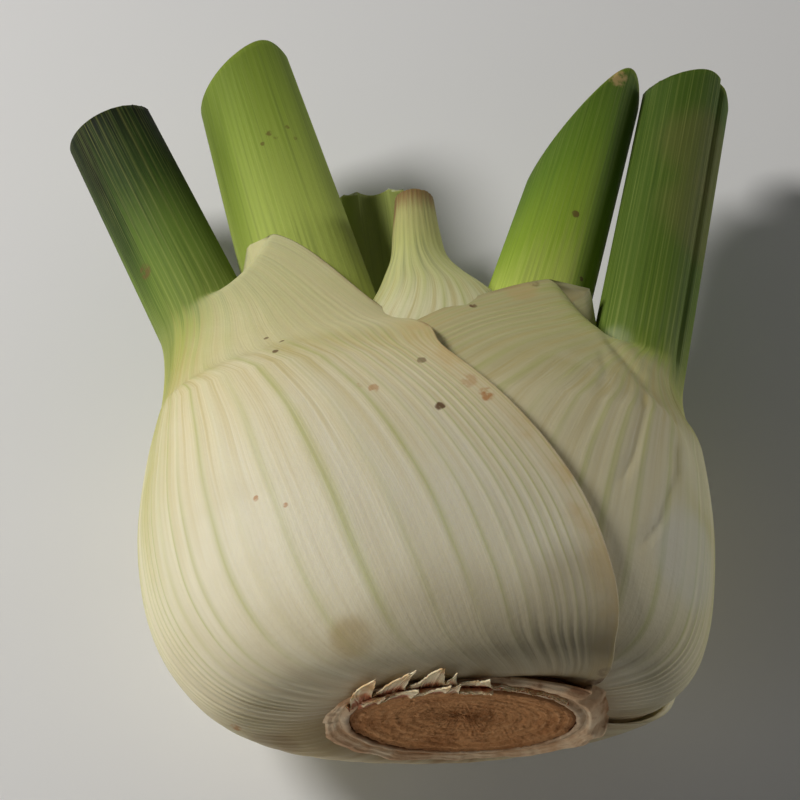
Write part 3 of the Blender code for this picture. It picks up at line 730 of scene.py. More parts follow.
# Sections above the sheath, in mm: height, x and z of the middle, half width, half depth
HEART_NECK = (
    (72, 0.0, 3.0, 22.0, 17.5),
    (80, 1.5, 6.5, 17.0, 11.5),
    (87, 1.0, 8.5, 12.0, 7.5),
    (92, -1.0, 9.0, 8.0, 5.6),
    (96, -2.2, 9.3, 5.6, 4.8),
    (102, -2.8, 9.6, 4.6, 4.4),
    (109.5, -3.2, 10.0, 3.8, 3.9),
)
HEART_COLUMNS = 216
HEART_ROWS_BELOW = 17
HEART_ROWS_ABOVE = 96
HEART_SHOWS_FROM = 7
HEART_RIBS = 27
HEART_RELIEF = 0.025 * MM
HEART_CUT_ROWS = (0.97, 0.9, 0.75, 0.55, 0.3)
HEART_CUT_DEPTH = 0.6 * MM
# Heights on the heart in mm, and the reach on a leaf that looks like it there
HEART_HEIGHTS = (60, 80, 88, 96, 110)
HEART_REACHES = (1.0, 1.55, 1.85, 2.2, 3.0)


def heart_ring(place, azimuth):
    place = np.array([place])
    off_front = np.abs(np.mod(azimuth - math.pi / 2 + math.pi, math.tau) - math.pi)
    bulge = (1 - smooth(off_front, *HEART_FRONT)) * smooth(place, *HEART_FRONT_PLACES)
    plain, bulged = (oval(azimuth, *ring(place, layer)) for layer in (HEART_LAYER, HEART_FRONT_LAYER))
    return mix(plain, bulged, bulge[:, None])


def heart_grid():
    """Rings of the heart from its base to its cut, spread over the CAD's own stations by a smooth curve."""
    azimuth = np.linspace(0, math.tau, HEART_COLUMNS, endpoint=False)
    stations = [heart_ring(place, azimuth) for place in HEART_PLACES]
    for section in HEART_NECK:
        height, x, z, half_width, half_depth = (value * MM for value in section)
        stations.append(oval(azimuth, x, height, half_width, half_depth, half_depth) + (0, 0, z))
    below = np.linspace(0, HEART_SHOWS_FROM, HEART_ROWS_BELOW, endpoint=False)
    above = np.linspace(HEART_SHOWS_FROM, len(stations) - 1, HEART_ROWS_ABOVE)
    rows = np.concatenate([below, above])
    return azimuth, rows, through(stations, rows)


def build_heart():
    azimuth, rows, grid = heart_grid()
    normals = grid_normals(wrapped(grid), 1)[:, :-1]
    wave = np.cos(HEART_RIBS * azimuth)
    strength = 1 + 0.5 * wander(azimuth * 6, 1.0, 4)
    shown = smooth(rows, HEART_SHOWS_FROM, HEART_SHOWS_FROM + 3)[:, None]
    grid = grid + normals * (HEART_RELIEF * wave[None, :] * strength[None, :] * shown)[..., None]
    centre = grid[-1].mean(axis=0)
    caps = []
    for share in HEART_CUT_ROWS:
        cap = mix(centre, grid[-1], share)
        cap[:, 1] += (0.25 - 0.9 * (1 - share) + 0.12 * wander(azimuth * 9 + share * 50, 1.0, 6)) * MM
        caps.append(cap)
    hubs = [centre - (0, HEART_CUT_DEPTH, 0), grid[0].mean(axis=0)]
    points = np.concatenate([grid.reshape(-1, 3), *caps, hubs])
    rings = len(rows) + len(caps)
    index = np.arange(rings * HEART_COLUMNS).reshape(rings, -1)
    faces = grid_faces(wrapped(index)) + fan_faces(index[-1], len(points) - 2)
    faces += fan_faces(index[0], len(points) - 1, True)
    cut = [np.zeros(len(rows)), (1 - np.array(HEART_CUT_ROWS)) * 4]
    attributes = {
        "across": np.concatenate([np.tile(azimuth / math.pi, rings), [0, 0]]),
        "reach": np.interp(points[:, 1] / MM, HEART_HEIGHTS, HEART_REACHES),
        "rib": np.concatenate([np.tile(wave * 0.5 + 0.5, rings), [0.5, 0.5]]),
        "edge": np.full(len(points), 50.0),
        "root": np.full(len(points), 50.0),
        "cut": np.concatenate([np.repeat(np.concatenate(cut), HEART_COLUMNS), [4.0, 0.0]]),
    }
    return make_object("fennel_heart", points, faces, attributes)


heart_piece = build_heart()
print("heart faces:", len(heart_piece.data.polygons))

# %% [markdown]
# The root plate
#
# Under the bulb the roots were cut away, and the cut has dried to a brown, fibrous disc with faint rings.
# A picture of it laid on a flat disc would look printed. A fine polar grid is better, because rings,
# radial cracks and a rough grain can then all be real relief.

# %% The disc of the root plate
CROWN_HEIGHT = 16.5 * MM
CROWN_GAP = 0.6 * MM
CROWN_DOME = 1.4 * MM
CROWN_COLUMNS = 288
CROWN_RINGS = 60
CROWN_SHARES = (0, 0.35, 0.70, 0.93, 1.0)
CROWN_FALLS = (0, -0.2, -0.6, -1.0, -0.2)
# The disc's side: shares of its radius and of its height
CROWN_SIDE = ((0.995, 0.1), (0.98, 0.5), (0.96, 0.88))


def crown_plate():
    """The disc's grid in the bulb's frame, from its middle to its rim and up its side."""
    azimuth = np.linspace(0, math.tau, CROWN_COLUMNS, endpoint=False)
    middle_x, rim_height, half_width, half_depth, _ = (float(v[0]) for v in ring(np.array([0.0]), 0))
    half_width, half_depth = half_width - CROWN_GAP, half_depth - CROWN_GAP
    shares = np.linspace(0.02, 1.0, CROWN_RINGS)[:, None]
    fall = np.interp(shares, CROWN_SHARES, CROWN_FALLS) * CROWN_DOME
    spread = shares * (1 + 0.012 * wander(azimuth * 5, 1.0, 21)[None, :])
    face = oval(azimuth, middle_x, 0.0, half_width * spread, half_depth * spread, half_depth * spread)
    x, z = face[..., 0], face[..., 2]
    rings_in = 0.08 * np.sin(shares * 52 + 1.3 * wander(azimuth * 3, 1.0, 22)[None, :])
    cracks = smooth(wander(azimuth * 14 + 4 * np.sin(shares * 9), 1.0, 23), 0.62, 0.95)
    cracks = -0.16 * cracks * smooth(shares, 0.2, 0.6)
    grain = 0.13 * wander(x / MM * 2.1 + 37 * np.sin(z / MM * 1.7), 1.0, 24)
    grain = grain + 0.12 * wander(z / MM * 3.3 + 20 * np.sin(x / MM * 0.9), 1.0, 25)
    relief = (rings_in + cracks + grain) * MM
    face[..., 1] = rim_height + fall + relief * (1 - smooth(shares, 0.96, 1.0))
    side = []
    for share, height in CROWN_SIDE:
        y, deep = rim_height + CROWN_HEIGHT * height, half_depth * share
        side.append(oval(azimuth, middle_x, y, half_width * share, deep, deep))
    return azimuth, shares[:, 0], np.concatenate([face, side])


def build_crown():
    azimuth, shares, grid = crown_plate()
    points = np.concatenate([grid.reshape(-1, 3), [grid[0].mean(axis=0), grid[-1].mean(axis=0)]])
    index = np.arange(len(grid) * CROWN_COLUMNS).reshape(len(grid), -1)
    faces = grid_faces(wrapped(index)) + fan_faces(index[0], len(points) - 2, True)
    faces += fan_faces(index[-1], len(points) - 1)
    out = np.concatenate([shares, np.ones(len(CROWN_SIDE))])
    attributes = {
        "out": np.concatenate([np.repeat(out, CROWN_COLUMNS), [0.0, 1.0]]),
        "around": np.concatenate([np.tile(azimuth, len(grid)), [0.0, 0.0]]),
    }
    return make_object("fennel_root_plate", points, faces, attributes)


crown_piece = build_crown()
print("root plate faces:", len(crown_piece.data.polygons))

# %% [markdown]
# The ring of cut leaf bases
#
# Older leaves were broken off round the plate, and their pale bases are left as a ragged ring. It could
# be part of the disc, but it follows the leaves: it lies on the outer leaf's sheath, bends in to the next
# one where the outer leaf ends, and its lip covers the disc's rim. A loop of rows does all three.

# %% The ring round the plate
BASES_COLUMNS = 420
BASES_ROWS = 16
BASES_BACK = 1.0 * MM
BASES_BACK_STEP = 3
# The ring's width in ring places round the plate, from the left over the front and right to the back
BASES_WIDTH = ((0, 0.5), (60, 0.32), (110, 0.45), (145, 0.85), (180, 0.9), (225, 0.85), (300, 0.8), (360, 0.5))
# The inner lip, which covers the plate's rim: shares of the rim's radius, and how proud it is in mm
BASES_LIP = ((0.925, 0.9), (0.945, 1.2), (0.97, 1.15), (0.99, 0.85))
# Azimuths where the outer leaf ends and the ring bends in to the next leaf
BASES_STEP_IN = ((146, 154), (192, 202))


def sheath_outside(azimuth, place, layer=0):
    middle_x, height, *sizes = ring(place, layer)
    return oval(azimuth, middle_x, height - lobe_dip(azimuth, place, layer), *sizes)


def build_cut_bases():
    azimuth = np.linspace(0, math.tau, BASES_COLUMNS, endpoint=False)
    degrees = np.degrees(azimuth)
    width = np.interp(degrees, *zip(*BASES_WIDTH)) * (1 + 0.12 * wander(degrees / 9, 1.0, 41))
    starts, ends = BASES_STEP_IN
    step_in = smooth(degrees, *starts) * (1 - smooth(degrees, *ends))
    share = np.linspace(0, 1, BASES_ROWS)[:, None]
    place = width[None, :] * share
    outer, inner = (sheath_outside(azimuth, place, layer) for layer in (0, 1))
    surface = mix(outer, inner, (step_in[None, :] * smooth(share, 0.3, 1.0))[..., None])
    fibres = 0.16 * wander(share * 9 + 0.6 * wander(degrees / 6, 1.0, 42)[None, :], 1.0, 43)
    lumps = 0.14 * wander(degrees / 3.1, 1.0, 44)[None, :] * np.sin(share * math.pi)
    level = 0.45 * (1 - share) ** 0.5 + 0.12 + fibres + lumps
    front = surface.copy()
    front[..., 1] -= mix(level, -0.5, smooth(share, 0.72, 1.0)) * MM
    back = surface[::-BASES_BACK_STEP] + (0.0, BASES_BACK, 0.0)
    centre = surface[0].mean(axis=0)
    lip = []
    for of_radius, height in BASES_LIP:
        row = mix(centre, surface[0], (of_radius + 0.008 * wander(degrees / 4, 1.0, 45))[:, None])
        row[:, 1] -= (height + 0.1 * wander(degrees / 5, 1.0, 46)) * MM
        lip.append(row)
    loop = np.concatenate([lip, front, back])
    index = np.arange(len(loop) * BASES_COLUMNS).reshape(len(loop), -1)
    out = np.concatenate([np.zeros(len(lip)), share[:, 0], share[::-BASES_BACK_STEP, 0]])
    attributes = {"out": np.repeat(out, BASES_COLUMNS), "around": np.tile(azimuth, len(loop))}
    faces = grid_faces(wrapped(wrapped(index), 0))
    return make_object("fennel_cut_bases", loop.reshape(-1, 3), faces, attributes)


bases_piece = build_cut_bases()
print("cut bases faces:", len(bases_piece.data.polygons))

# %% [markdown]
# The torn scraps
#
# On the front rim stand torn scraps of older leaf bases. Loose cards would float, so each layer of scraps
# is one thin closed sheet that starts under the ring and follows the sheath. Its upper edge is ragged:
# small seeded jags, and over them the larger flakes, which are teeth that all lean one way.

# %% The scraps round the plate
TORN_CLEARANCE = 0.35 * MM
TORN_STEPS = 10
TORN_COLUMNS_PER_DEGREE = 2.2
TORN_COLUMNS_PER_JAG = 6
TORN_SHEET = 0.95 * MM
# The sheet's foot lies at this share of the rim's radius, and this far in under the plate
TORN_FOOT = 0.86
TORN_FOOT_IN = 1.2 * MM
# Each layer of scraps: azimuths in degrees, longest reach up the sheath in ring places, lift in mm, seed
TORN_LAYERS = (
    ((20, 114), 1.65, 0.0, 31),
    ((30, 104), 1.05, 0.9, 32),
    ((108, 150), 0.6, 0.0, 33),
)
# Single flakes that stand out of the scraps: azimuth and half width of the foot in degrees
FLAKES = ((33, 9), (51, 10), (70, 11), (82, 5), (95, 10))
# A flake is a tooth with its tip at this share of its width, and it leans towards an azimuth in degrees
FLAKE_TIP = 0.72
FLAKES_LEAN_TO = 105
FLAKES_LEAN = 0.5
SLOPE_STEP = 0.03


def ragged_lengths(azimuth, longest, seed):
    """How far a layer of scraps reaches up the sheath at each azimuth, in ring places."""
    columns = len(azimuth)
    draw = np.random.default_rng(seed)
    jags = draw.uniform(0.15, 0.38, columns // TORN_COLUMNS_PER_JAG + 2)
    jags = np.repeat(jags, TORN_COLUMNS_PER_JAG)[:columns]
    for middle, half_width in FLAKES:
        along_foot = (np.degrees(azimuth) + draw.uniform(-1, 1) - middle + half_width) / (2 * half_width)
        tooth = np.minimum(along_foot / FLAKE_TIP, (1 - along_foot) / (1 - FLAKE_TIP))
        jags = np.maximum(jags, draw.uniform(0.85, 1.0) * np.clip(tooth, 0, 1) ** 0.6)
    length = longest * (0.95 * jags + 0.05 * draw.uniform(0, 1, columns))
    return length * np.sin(np.linspace(0.2, math.pi - 0.2, columns)) ** 0.4


def outward_of_sheath(around, place):
    """Unit directions out of the outer sheath, from its slopes along and across."""
    aside = sheath_outside(around + SLOPE_STEP, place) - sheath_outside(around - SLOPE_STEP, place)
    below = np.maximum(place - SLOPE_STEP, 0)
    out = np.cross(aside, sheath_outside(around, place + SLOPE_STEP) - sheath_outside(around, below))
    out = out / np.linalg.norm(out, axis=-1, keepdims=True)
    return np.where(out[..., 1:2] > 0, -out, out)


def build_torn_layer(number, span, longest, lift, seed):
    columns = int((span[1] - span[0]) * TORN_COLUMNS_PER_DEGREE)
    azimuth = np.linspace(*np.radians(span), columns)
    length = ragged_lengths(azimuth, longest, seed)
    share = np.linspace(0, 1, TORN_STEPS)[:, None]
    place = length[None, :] * share
    lean = FLAKES_LEAN * (math.radians(FLAKES_LEAN_TO) - azimuth) + 0.05 * wander(azimuth * 12, 1.0, seed)
    around = azimuth[None, :] + share * (length / longest * lean)[None, :]
    surface = sheath_outside(around, place)
    out = outward_of_sheath(around, place)
    curl = (0.7 + 0.45 * wander(azimuth * 9, 1.0, seed + 2)) * smooth(share, 0.3, 1.0)
    away = TORN_CLEARANCE + (lift + curl) * MM + 0.12 * MM * wander(azimuth * 60, 1.0, seed + 1)
    sheets = []
    for thickness in (0.0, TORN_SHEET):
        sheet = surface + out * (away + thickness * (1 - 0.6 * share))[..., None]
        foot = sheet[:1] * (TORN_FOOT, 1.0, TORN_FOOT) + (0.0, TORN_FOOT_IN, 0.0)
        sheets.append(np.concatenate([foot, sheet]))
    rows = TORN_STEPS + 1
    under = np.arange(rows * columns).reshape(rows, columns)
    over = under + rows * columns
    faces = grid_faces(under, True) + grid_faces(over)
    rim = np.concatenate([under[0], under[1:, -1], under[-1, -2::-1], under[-2:0:-1, 0]])
    for a, b in zip(rim.tolist(), np.roll(rim, -1).tolist()):
        faces.append([b, a, a + rows * columns, b + rows * columns])
    tip = np.concatenate([[0.0], share[:, 0]])
    attributes = {"out": np.tile(np.repeat(tip, columns), 2), "around": np.tile(azimuth, rows * 2)}
    return make_object(f"fennel_torn_scraps_{number}", np.reshape(sheets, (-1, 3)), faces, attributes)


torn_pieces = [build_torn_layer(number, *layer) for number, layer in enumerate(TORN_LAYERS, 1)]
print(len(torn_pieces), "layers of scraps")

# %% [markdown]
# Materials: shader maths as plain expressions
#
# A material is a little program of nodes. Written out one by one, Math nodes bury the idea, so a small
# class wraps a node's output and overloads the operators: 1 - mask * 2 then adds the two nodes itself.
# Any other node comes from one method, which takes its type, its settings and the values of its sockets.


# %% The wrapper class and its one node method
class Field:
    """An output of a shader node that can be used in plain expressions."""

    def __init__(self, finish, output):
        self.finish = finish
        self.output = output

    def maths(self, operation, *values):
        return self.finish.node("ShaderNodeMath", {"operation": operation}, dict(enumerate(values)))

    def __add__(self, other):
        return self.maths("ADD", self, other)

    def __sub__(self, other):
        return self.maths("SUBTRACT", self, other)

    def __rsub__(self, other):
        return self.maths("SUBTRACT", other, self)

    def __mul__(self, other):
        return self.maths("MULTIPLY", self, other)

    def __truediv__(self, other):
        return self.maths("DIVIDE", self, other)

    def __pow__(self, other):
        return self.maths("POWER", self, other)

    __radd__ = __add__
    __rmul__ = __mul__


class Finish:
    """A material whose nodes are added by method calls and by expressions on fields."""

    def __init__(self, name, **constants):
        self.material = bpy.data.materials.new(name)
        self.material.use_nodes = True
        self.tree = self.material.node_tree
        self.shader = self.tree.nodes["Principled BSDF"]
        for socket, value in constants.items():
            self.shader.inputs[socket.replace("_", " ")].default_value = value
        self.place = self.node("ShaderNodeTexCoord", output="Object")

    def node(self, kind, settings=None, inputs=None, output=0):
        made = self.tree.nodes.new(kind)
        for key, value in (settings or {}).items():
            if key == "stops":
                self.set_stops(made.color_ramp, value)
            else:
                setattr(made, key, value)
        for key, value in (inputs or {}).items():
            self.put(made.inputs[key], value)
        return Field(self, made.outputs[output])

    def set_stops(self, ramp, stops):
        while len(ramp.elements) < len(stops):
            ramp.elements.new(1.0)
        for element, (place, colour) in zip(ramp.elements, stops):
            element.position = place
            element.color = colour

    def put(self, socket, value):
        if isinstance(value, Field):
            self.tree.links.new(value.output, socket)
        else:
            socket.default_value = value

    def attributes(self, *names):
        kind = {"attribute_type": "GEOMETRY"}
        return [self.node("ShaderNodeAttribute", {**kind, "attribute_name": n}, output="Fac") for n in names]

    def noise(self, scale, detail, vector=None):
        inputs = {"Vector": vector or self.place, "Scale": scale, "Detail": detail}
        return self.node("ShaderNodeTexNoise", {}, inputs, output="Fac")

    def streaks(self, x, y, z, detail):
        """Noise over two fields, drawn out along the one that counts for less; z picks the pattern."""
        return self.noise(1.0, detail, self.node("ShaderNodeCombineXYZ", {}, {"X": x, "Y": y, "Z": z}))

    def ramp(self, value, low, high, top=1.0):
        """0 below low and top above high, with an S-shaped rise between."""
        settings = {"interpolation_type": "SMOOTHSTEP"}
        inputs = {"Value": value, "From Min": low, "From Max": high, "To Min": 0.0, "To Max": top}
        return self.node("ShaderNodeMapRange", settings, inputs)

    def fall(self, value, low, high):
        """1 below low and 0 above high."""
        return 1 - self.ramp(value, low, high)

    def window(self, value, low, full, leaving, gone):
        """A rise from low to full and a fall from leaving to gone."""
        return self.ramp(value, low, full) * self.fall(value, leaving, gone)

    def layers(self, colour, *layers):
        """A colour with other colours laid over it in turn, each where its mask is 1."""
        settings = {"data_type": "RGBA", "clamp_factor": True}
        for mask, other in layers:
            colour = self.node("ShaderNodeMix", settings, {0: mask, 6: colour, 7: other}, output=2)
        return colour

    def palette(self, value, stops):
        return self.node("ShaderNodeValToRGB", {"stops": stops}, {"Fac": value}, output="Color")

    def near(self, point, radius):
        """1 at a point on the object, falling to 0 at radius."""
        inputs = {0: self.place, 1: point}
        away = self.node("ShaderNodeVectorMath", {"operation": "DISTANCE"}, inputs, output="Value")
        return self.fall(away, radius * 0.35, radius)

    def dress(self, colour, height, strength, distance):
        """Connects the colour and a bump of this height, and gives the material."""
        self.put(self.shader.inputs["Base Color"], colour)
        inputs = {"Strength": strength, "Distance": distance, "Height": height}
        self.put(self.shader.inputs["Normal"], self.node("ShaderNodeBump", {}, inputs))
        return self.material


def srgb(red, green, blue):
    """A colour given by its screen values from 0 to 255, as the linear values that nodes use."""
    linear = []
    for value in (red, green, blue):
        share = value / 255
        linear.append(share / 12.92 if share <= 0.04045 else ((share + 0.055) / 1.055) ** 2.4)
    return (*linear, 1.0)


print("cream in linear values:", [round(value, 3) for value in srgb(222, 214, 186)])

# %% [markdown]
# Blemishes, painted shade and painted light
#
# A real bulb has bruises, rusty specks and rubbed places. A few broad marks are not blemishes but painted
# shade on the lower belly and painted light on the right flank. Each one is a named place in the picture. The
# nearest point of the leaf's own surface is looked up, and the material changes round that point in
# space, with its edge broken up by noise, so the mark stays on the leaf from every side.

# %% Places of the blemishes and of the painted shade and light
RUST = srgb(176, 112, 52)
BROWN = srgb(96, 62, 36)
BRUISE = srgb(112, 72, 48)
TAN = srgb(196, 164, 112)
OLIVE = srgb(172, 148, 96)
# a grey-beige used only for painted shade on the lower belly of the left outer leaf
PAINTED_SHADE_GREY = srgb(168, 156, 126)
# a cream white used only for painted light on the lit right edge of the right outer leaf
PAINTED_LIGHT_CREAM = srgb(240, 234, 214)
SCUFF = srgb(214, 212, 186)
PURPLE = srgb(146, 120, 84)
# a bluish white used only for painted light on the right flank of the right outer leaf
PAINTED_LIGHT_BLUISH = srgb(206, 208, 204)
# Marks of at least this radius in mm are stains or patches of painted shade and light with soft edges; smaller
# ones are ragged
SOFT_FROM = 4.5
# Each mark: its place in the picture, its radius in mm, its colour and strength
MARKS = {
    "leaf_left_outer": (
        ((440, 405), 1.4, BROWN, 0.9),
        ((487, 393), 2.3, RUST, 0.75),
        ((468, 380), 2.6, RUST, 0.35),
        ((375, 390), 1.6, RUST, 0.5),
        ((360, 385), 1.2, RUST, 0.5),
        ((281, 342), 0.9, BROWN, 0.9),
        ((275, 350), 0.9, BROWN, 0.8),
        ((422, 360), 1.3, BROWN, 0.6),
        ((267, 337), 0.8, BROWN, 0.7),
        ((350, 642), 6.0, OLIVE, 0.6),
        ((254, 502), 0.9, RUST, 0.7),
        ((290, 505), 0.8, RUST, 0.7),
        ((600, 690), 3.4, BRUISE, 0.8),
        ((606, 672), 2.2, BRUISE, 0.6),
        # two broad grey patches of painted shade on the lower belly, where it turns away from the light
        # towards the root
        ((450, 655), 24.0, PAINTED_SHADE_GREY, 0.55),
        ((590, 620), 20.0, PAINTED_SHADE_GREY, 0.6),
        ((315, 740), 11.0, OLIVE, 0.6),
        ((275, 745), 7.0, BRUISE, 0.3),
        ((235, 728), 1.8, RUST, 0.6),
        ((146, 272), 2.4, BRUISE, 0.6),
    ),
    "leaf_right_outer": (
        ((474, 305), 1.2, BROWN, 0.9),
        ((535, 280), 2.0, BROWN, 0.55),
        ((520, 288), 5.0, TAN, 0.4),
        ((706, 150), 14.0, PURPLE, 0.2),
        ((702, 220), 14.0, PURPLE, 0.2),
        ((625, 730), 9.0, TAN, 0.6),
        ((612, 345), 6.0, SCUFF, 0.25),
        # two pale patches of painted light on the right flank, where the side light falls
        ((690, 560), 14.0, PAINTED_LIGHT_BLUISH, 0.35),
        ((706, 480), 14.0, PAINTED_LIGHT_CREAM, 0.25),
    ),
    "leaf_left_inner": (
        ((268, 132), 1.1, BROWN, 0.7),
        ((276, 139), 0.9, BROWN, 0.6),
        ((288, 128), 0.8, BROWN, 0.7),
        ((262, 142), 0.7, BROWN, 0.6),
        ((295, 140), 0.7, BROWN, 0.6),
    ),
    "leaf_right_inner": (
        ((576, 215), 1.2, BROWN, 0.8),
        ((582, 278), 0.8, BROWN, 0.8),
        ((617, 76), 3.4, TAN, 0.7),
    ),
    "leaf_back_short": (
        ((364, 253), 1.0, BROWN, 0.9),
        ((366, 265), 1.0, BROWN, 0.9),
    ),
}
FAR_AWAY = 1000


def point_at(name, place):
    """The point of a leaf's outer face that falls nearest to a place in the picture, on the camera's side."""
    mesh = leaf_pieces[name].data
    rows = len(REACHES) * len(columns_of(LEAVES[name]["ribs"]))
    found = []
    for kind in ("co", "normal"):
        values = np.empty(len(mesh.vertices) * 3)
        mesh.vertices.foreach_get(kind, values)
        found.append(values.reshape(-1, 3)[:rows])
    co, normals = found
    x, y = picture_place(co)
    away = np.hypot(x - place[0], y - place[1]) + FAR_AWAY * (normals @ FORWARD > 0)
    return tuple(float(value) for value in co[int(away.argmin())])


marks_found = {
    name: [(point_at(name, place), *rest) for place, *rest in marks] for name, marks in MARKS.items()
}
print("marks:", sum(len(marks) for marks in marks_found.values()))

# %% [markdown]
# The leaf's skin
#
# One function makes every leaf's material, because they differ only in how green they are and where the
# green begins. Colour runs along the reach through a palette. Each vein carries it a little further or
# less far, so the border between cream and green is streaky. Furrows between the ribs are a touch tanner,
# the front margin is thin, dry and tan, and everything browns towards the root. The skin is waxy: light
# sinks in a little, and it shines softly.

# %% Leaf materials
LEAF_STOPS = {
    # place along the leaf as a share of its reach, and the colour's screen values there
    "leaf_left_outer": (
        (0.00, 196, 178, 142), (0.10, 214, 204, 172), (0.22, 226, 219, 192), (0.31, 218, 208, 170),
        (0.42, 200, 190, 136), (0.53, 186, 180, 112), (0.60, 168, 174, 88), (0.65, 118, 138, 56),
        (0.76, 98, 122, 44), (0.87, 48, 68, 20), (1.00, 12, 22, 4),
    ),
    "leaf_right_outer": (
        (0.00, 196, 178, 144), (0.10, 216, 208, 180), (0.30, 212, 203, 166), (0.45, 182, 174, 128),
        (0.58, 184, 180, 128), (0.63, 150, 164, 76), (0.67, 96, 120, 36), (0.80, 80, 104, 30),
        (0.90, 74, 98, 26), (1.00, 66, 90, 22),
    ),
    "leaf_left_inner": (
        (0.00, 226, 219, 192), (0.40, 214, 210, 172), (0.60, 200, 202, 136), (0.68, 180, 192, 96),
        (0.80, 166, 182, 84), (0.92, 134, 154, 58), (1.00, 112, 132, 44),
    ),
    "leaf_right_inner": (
        (0.00, 226, 219, 192), (0.40, 214, 210, 172), (0.62, 210, 214, 140), (0.70, 192, 206, 98),
        (0.80, 138, 164, 48), (0.92, 98, 128, 32), (1.00, 80, 106, 28),
    ),
    "leaf_back_short": (
        (0.00, 214, 210, 172), (0.55, 200, 206, 140), (0.66, 190, 200, 120), (0.80, 174, 184, 104),
        (1.00, 158, 168, 90),
    ),
    "heart_leaf": (
        (0.00, 226, 219, 192), (0.30, 218, 214, 180), (0.50, 220, 216, 174), (0.62, 204, 204, 146),
        (0.76, 186, 188, 120), (0.90, 176, 172, 112), (0.97, 138, 112, 72), (1.00, 120, 92, 58),
    ),
}
LEAF_LOOKS = {
    # how strong the veins are, how far the green's border wanders, how tan the margin is, how pale its ear
    "leaf_left_outer": (0.65, 0.55, 0.75, 0.6),
    "leaf_right_outer": (0.65, 0.30, 0.60, 0.1),
    "leaf_left_inner": (0.35, 0.45, 0.15, 0.1),
    "leaf_right_inner": (0.35, 0.50, 0.15, 0.1),
    "leaf_back_short": (0.25, 0.30, 0.10, 0.0),
    "heart_leaf": (0.55, 0.40, 0.0, 0.0),
}
VEIN = srgb(166, 172, 92)
FURROW_TAN = srgb(184, 164, 98)
STALK_PALE = srgb(176, 190, 104)
STALK_DARK = srgb(40, 66, 14)
KEEL_TONE = srgb(168, 168, 96)
CLOUD_TAN = srgb(198, 186, 146)
CLOUD_PALE = srgb(232, 228, 212)
AURICLE_PALE = srgb(222, 214, 172)
MARGIN_TAN = srgb(206, 178, 120)
MARGIN_LINE = srgb(150, 100, 52)
ROOT_TAN = srgb(190, 168, 128)
ROOT_BROWN = srgb(150, 112, 74)
FLESH = srgb(206, 214, 160)
FLESH_DRY = srgb(168, 160, 110)
WHOLE_REACH = 3.0


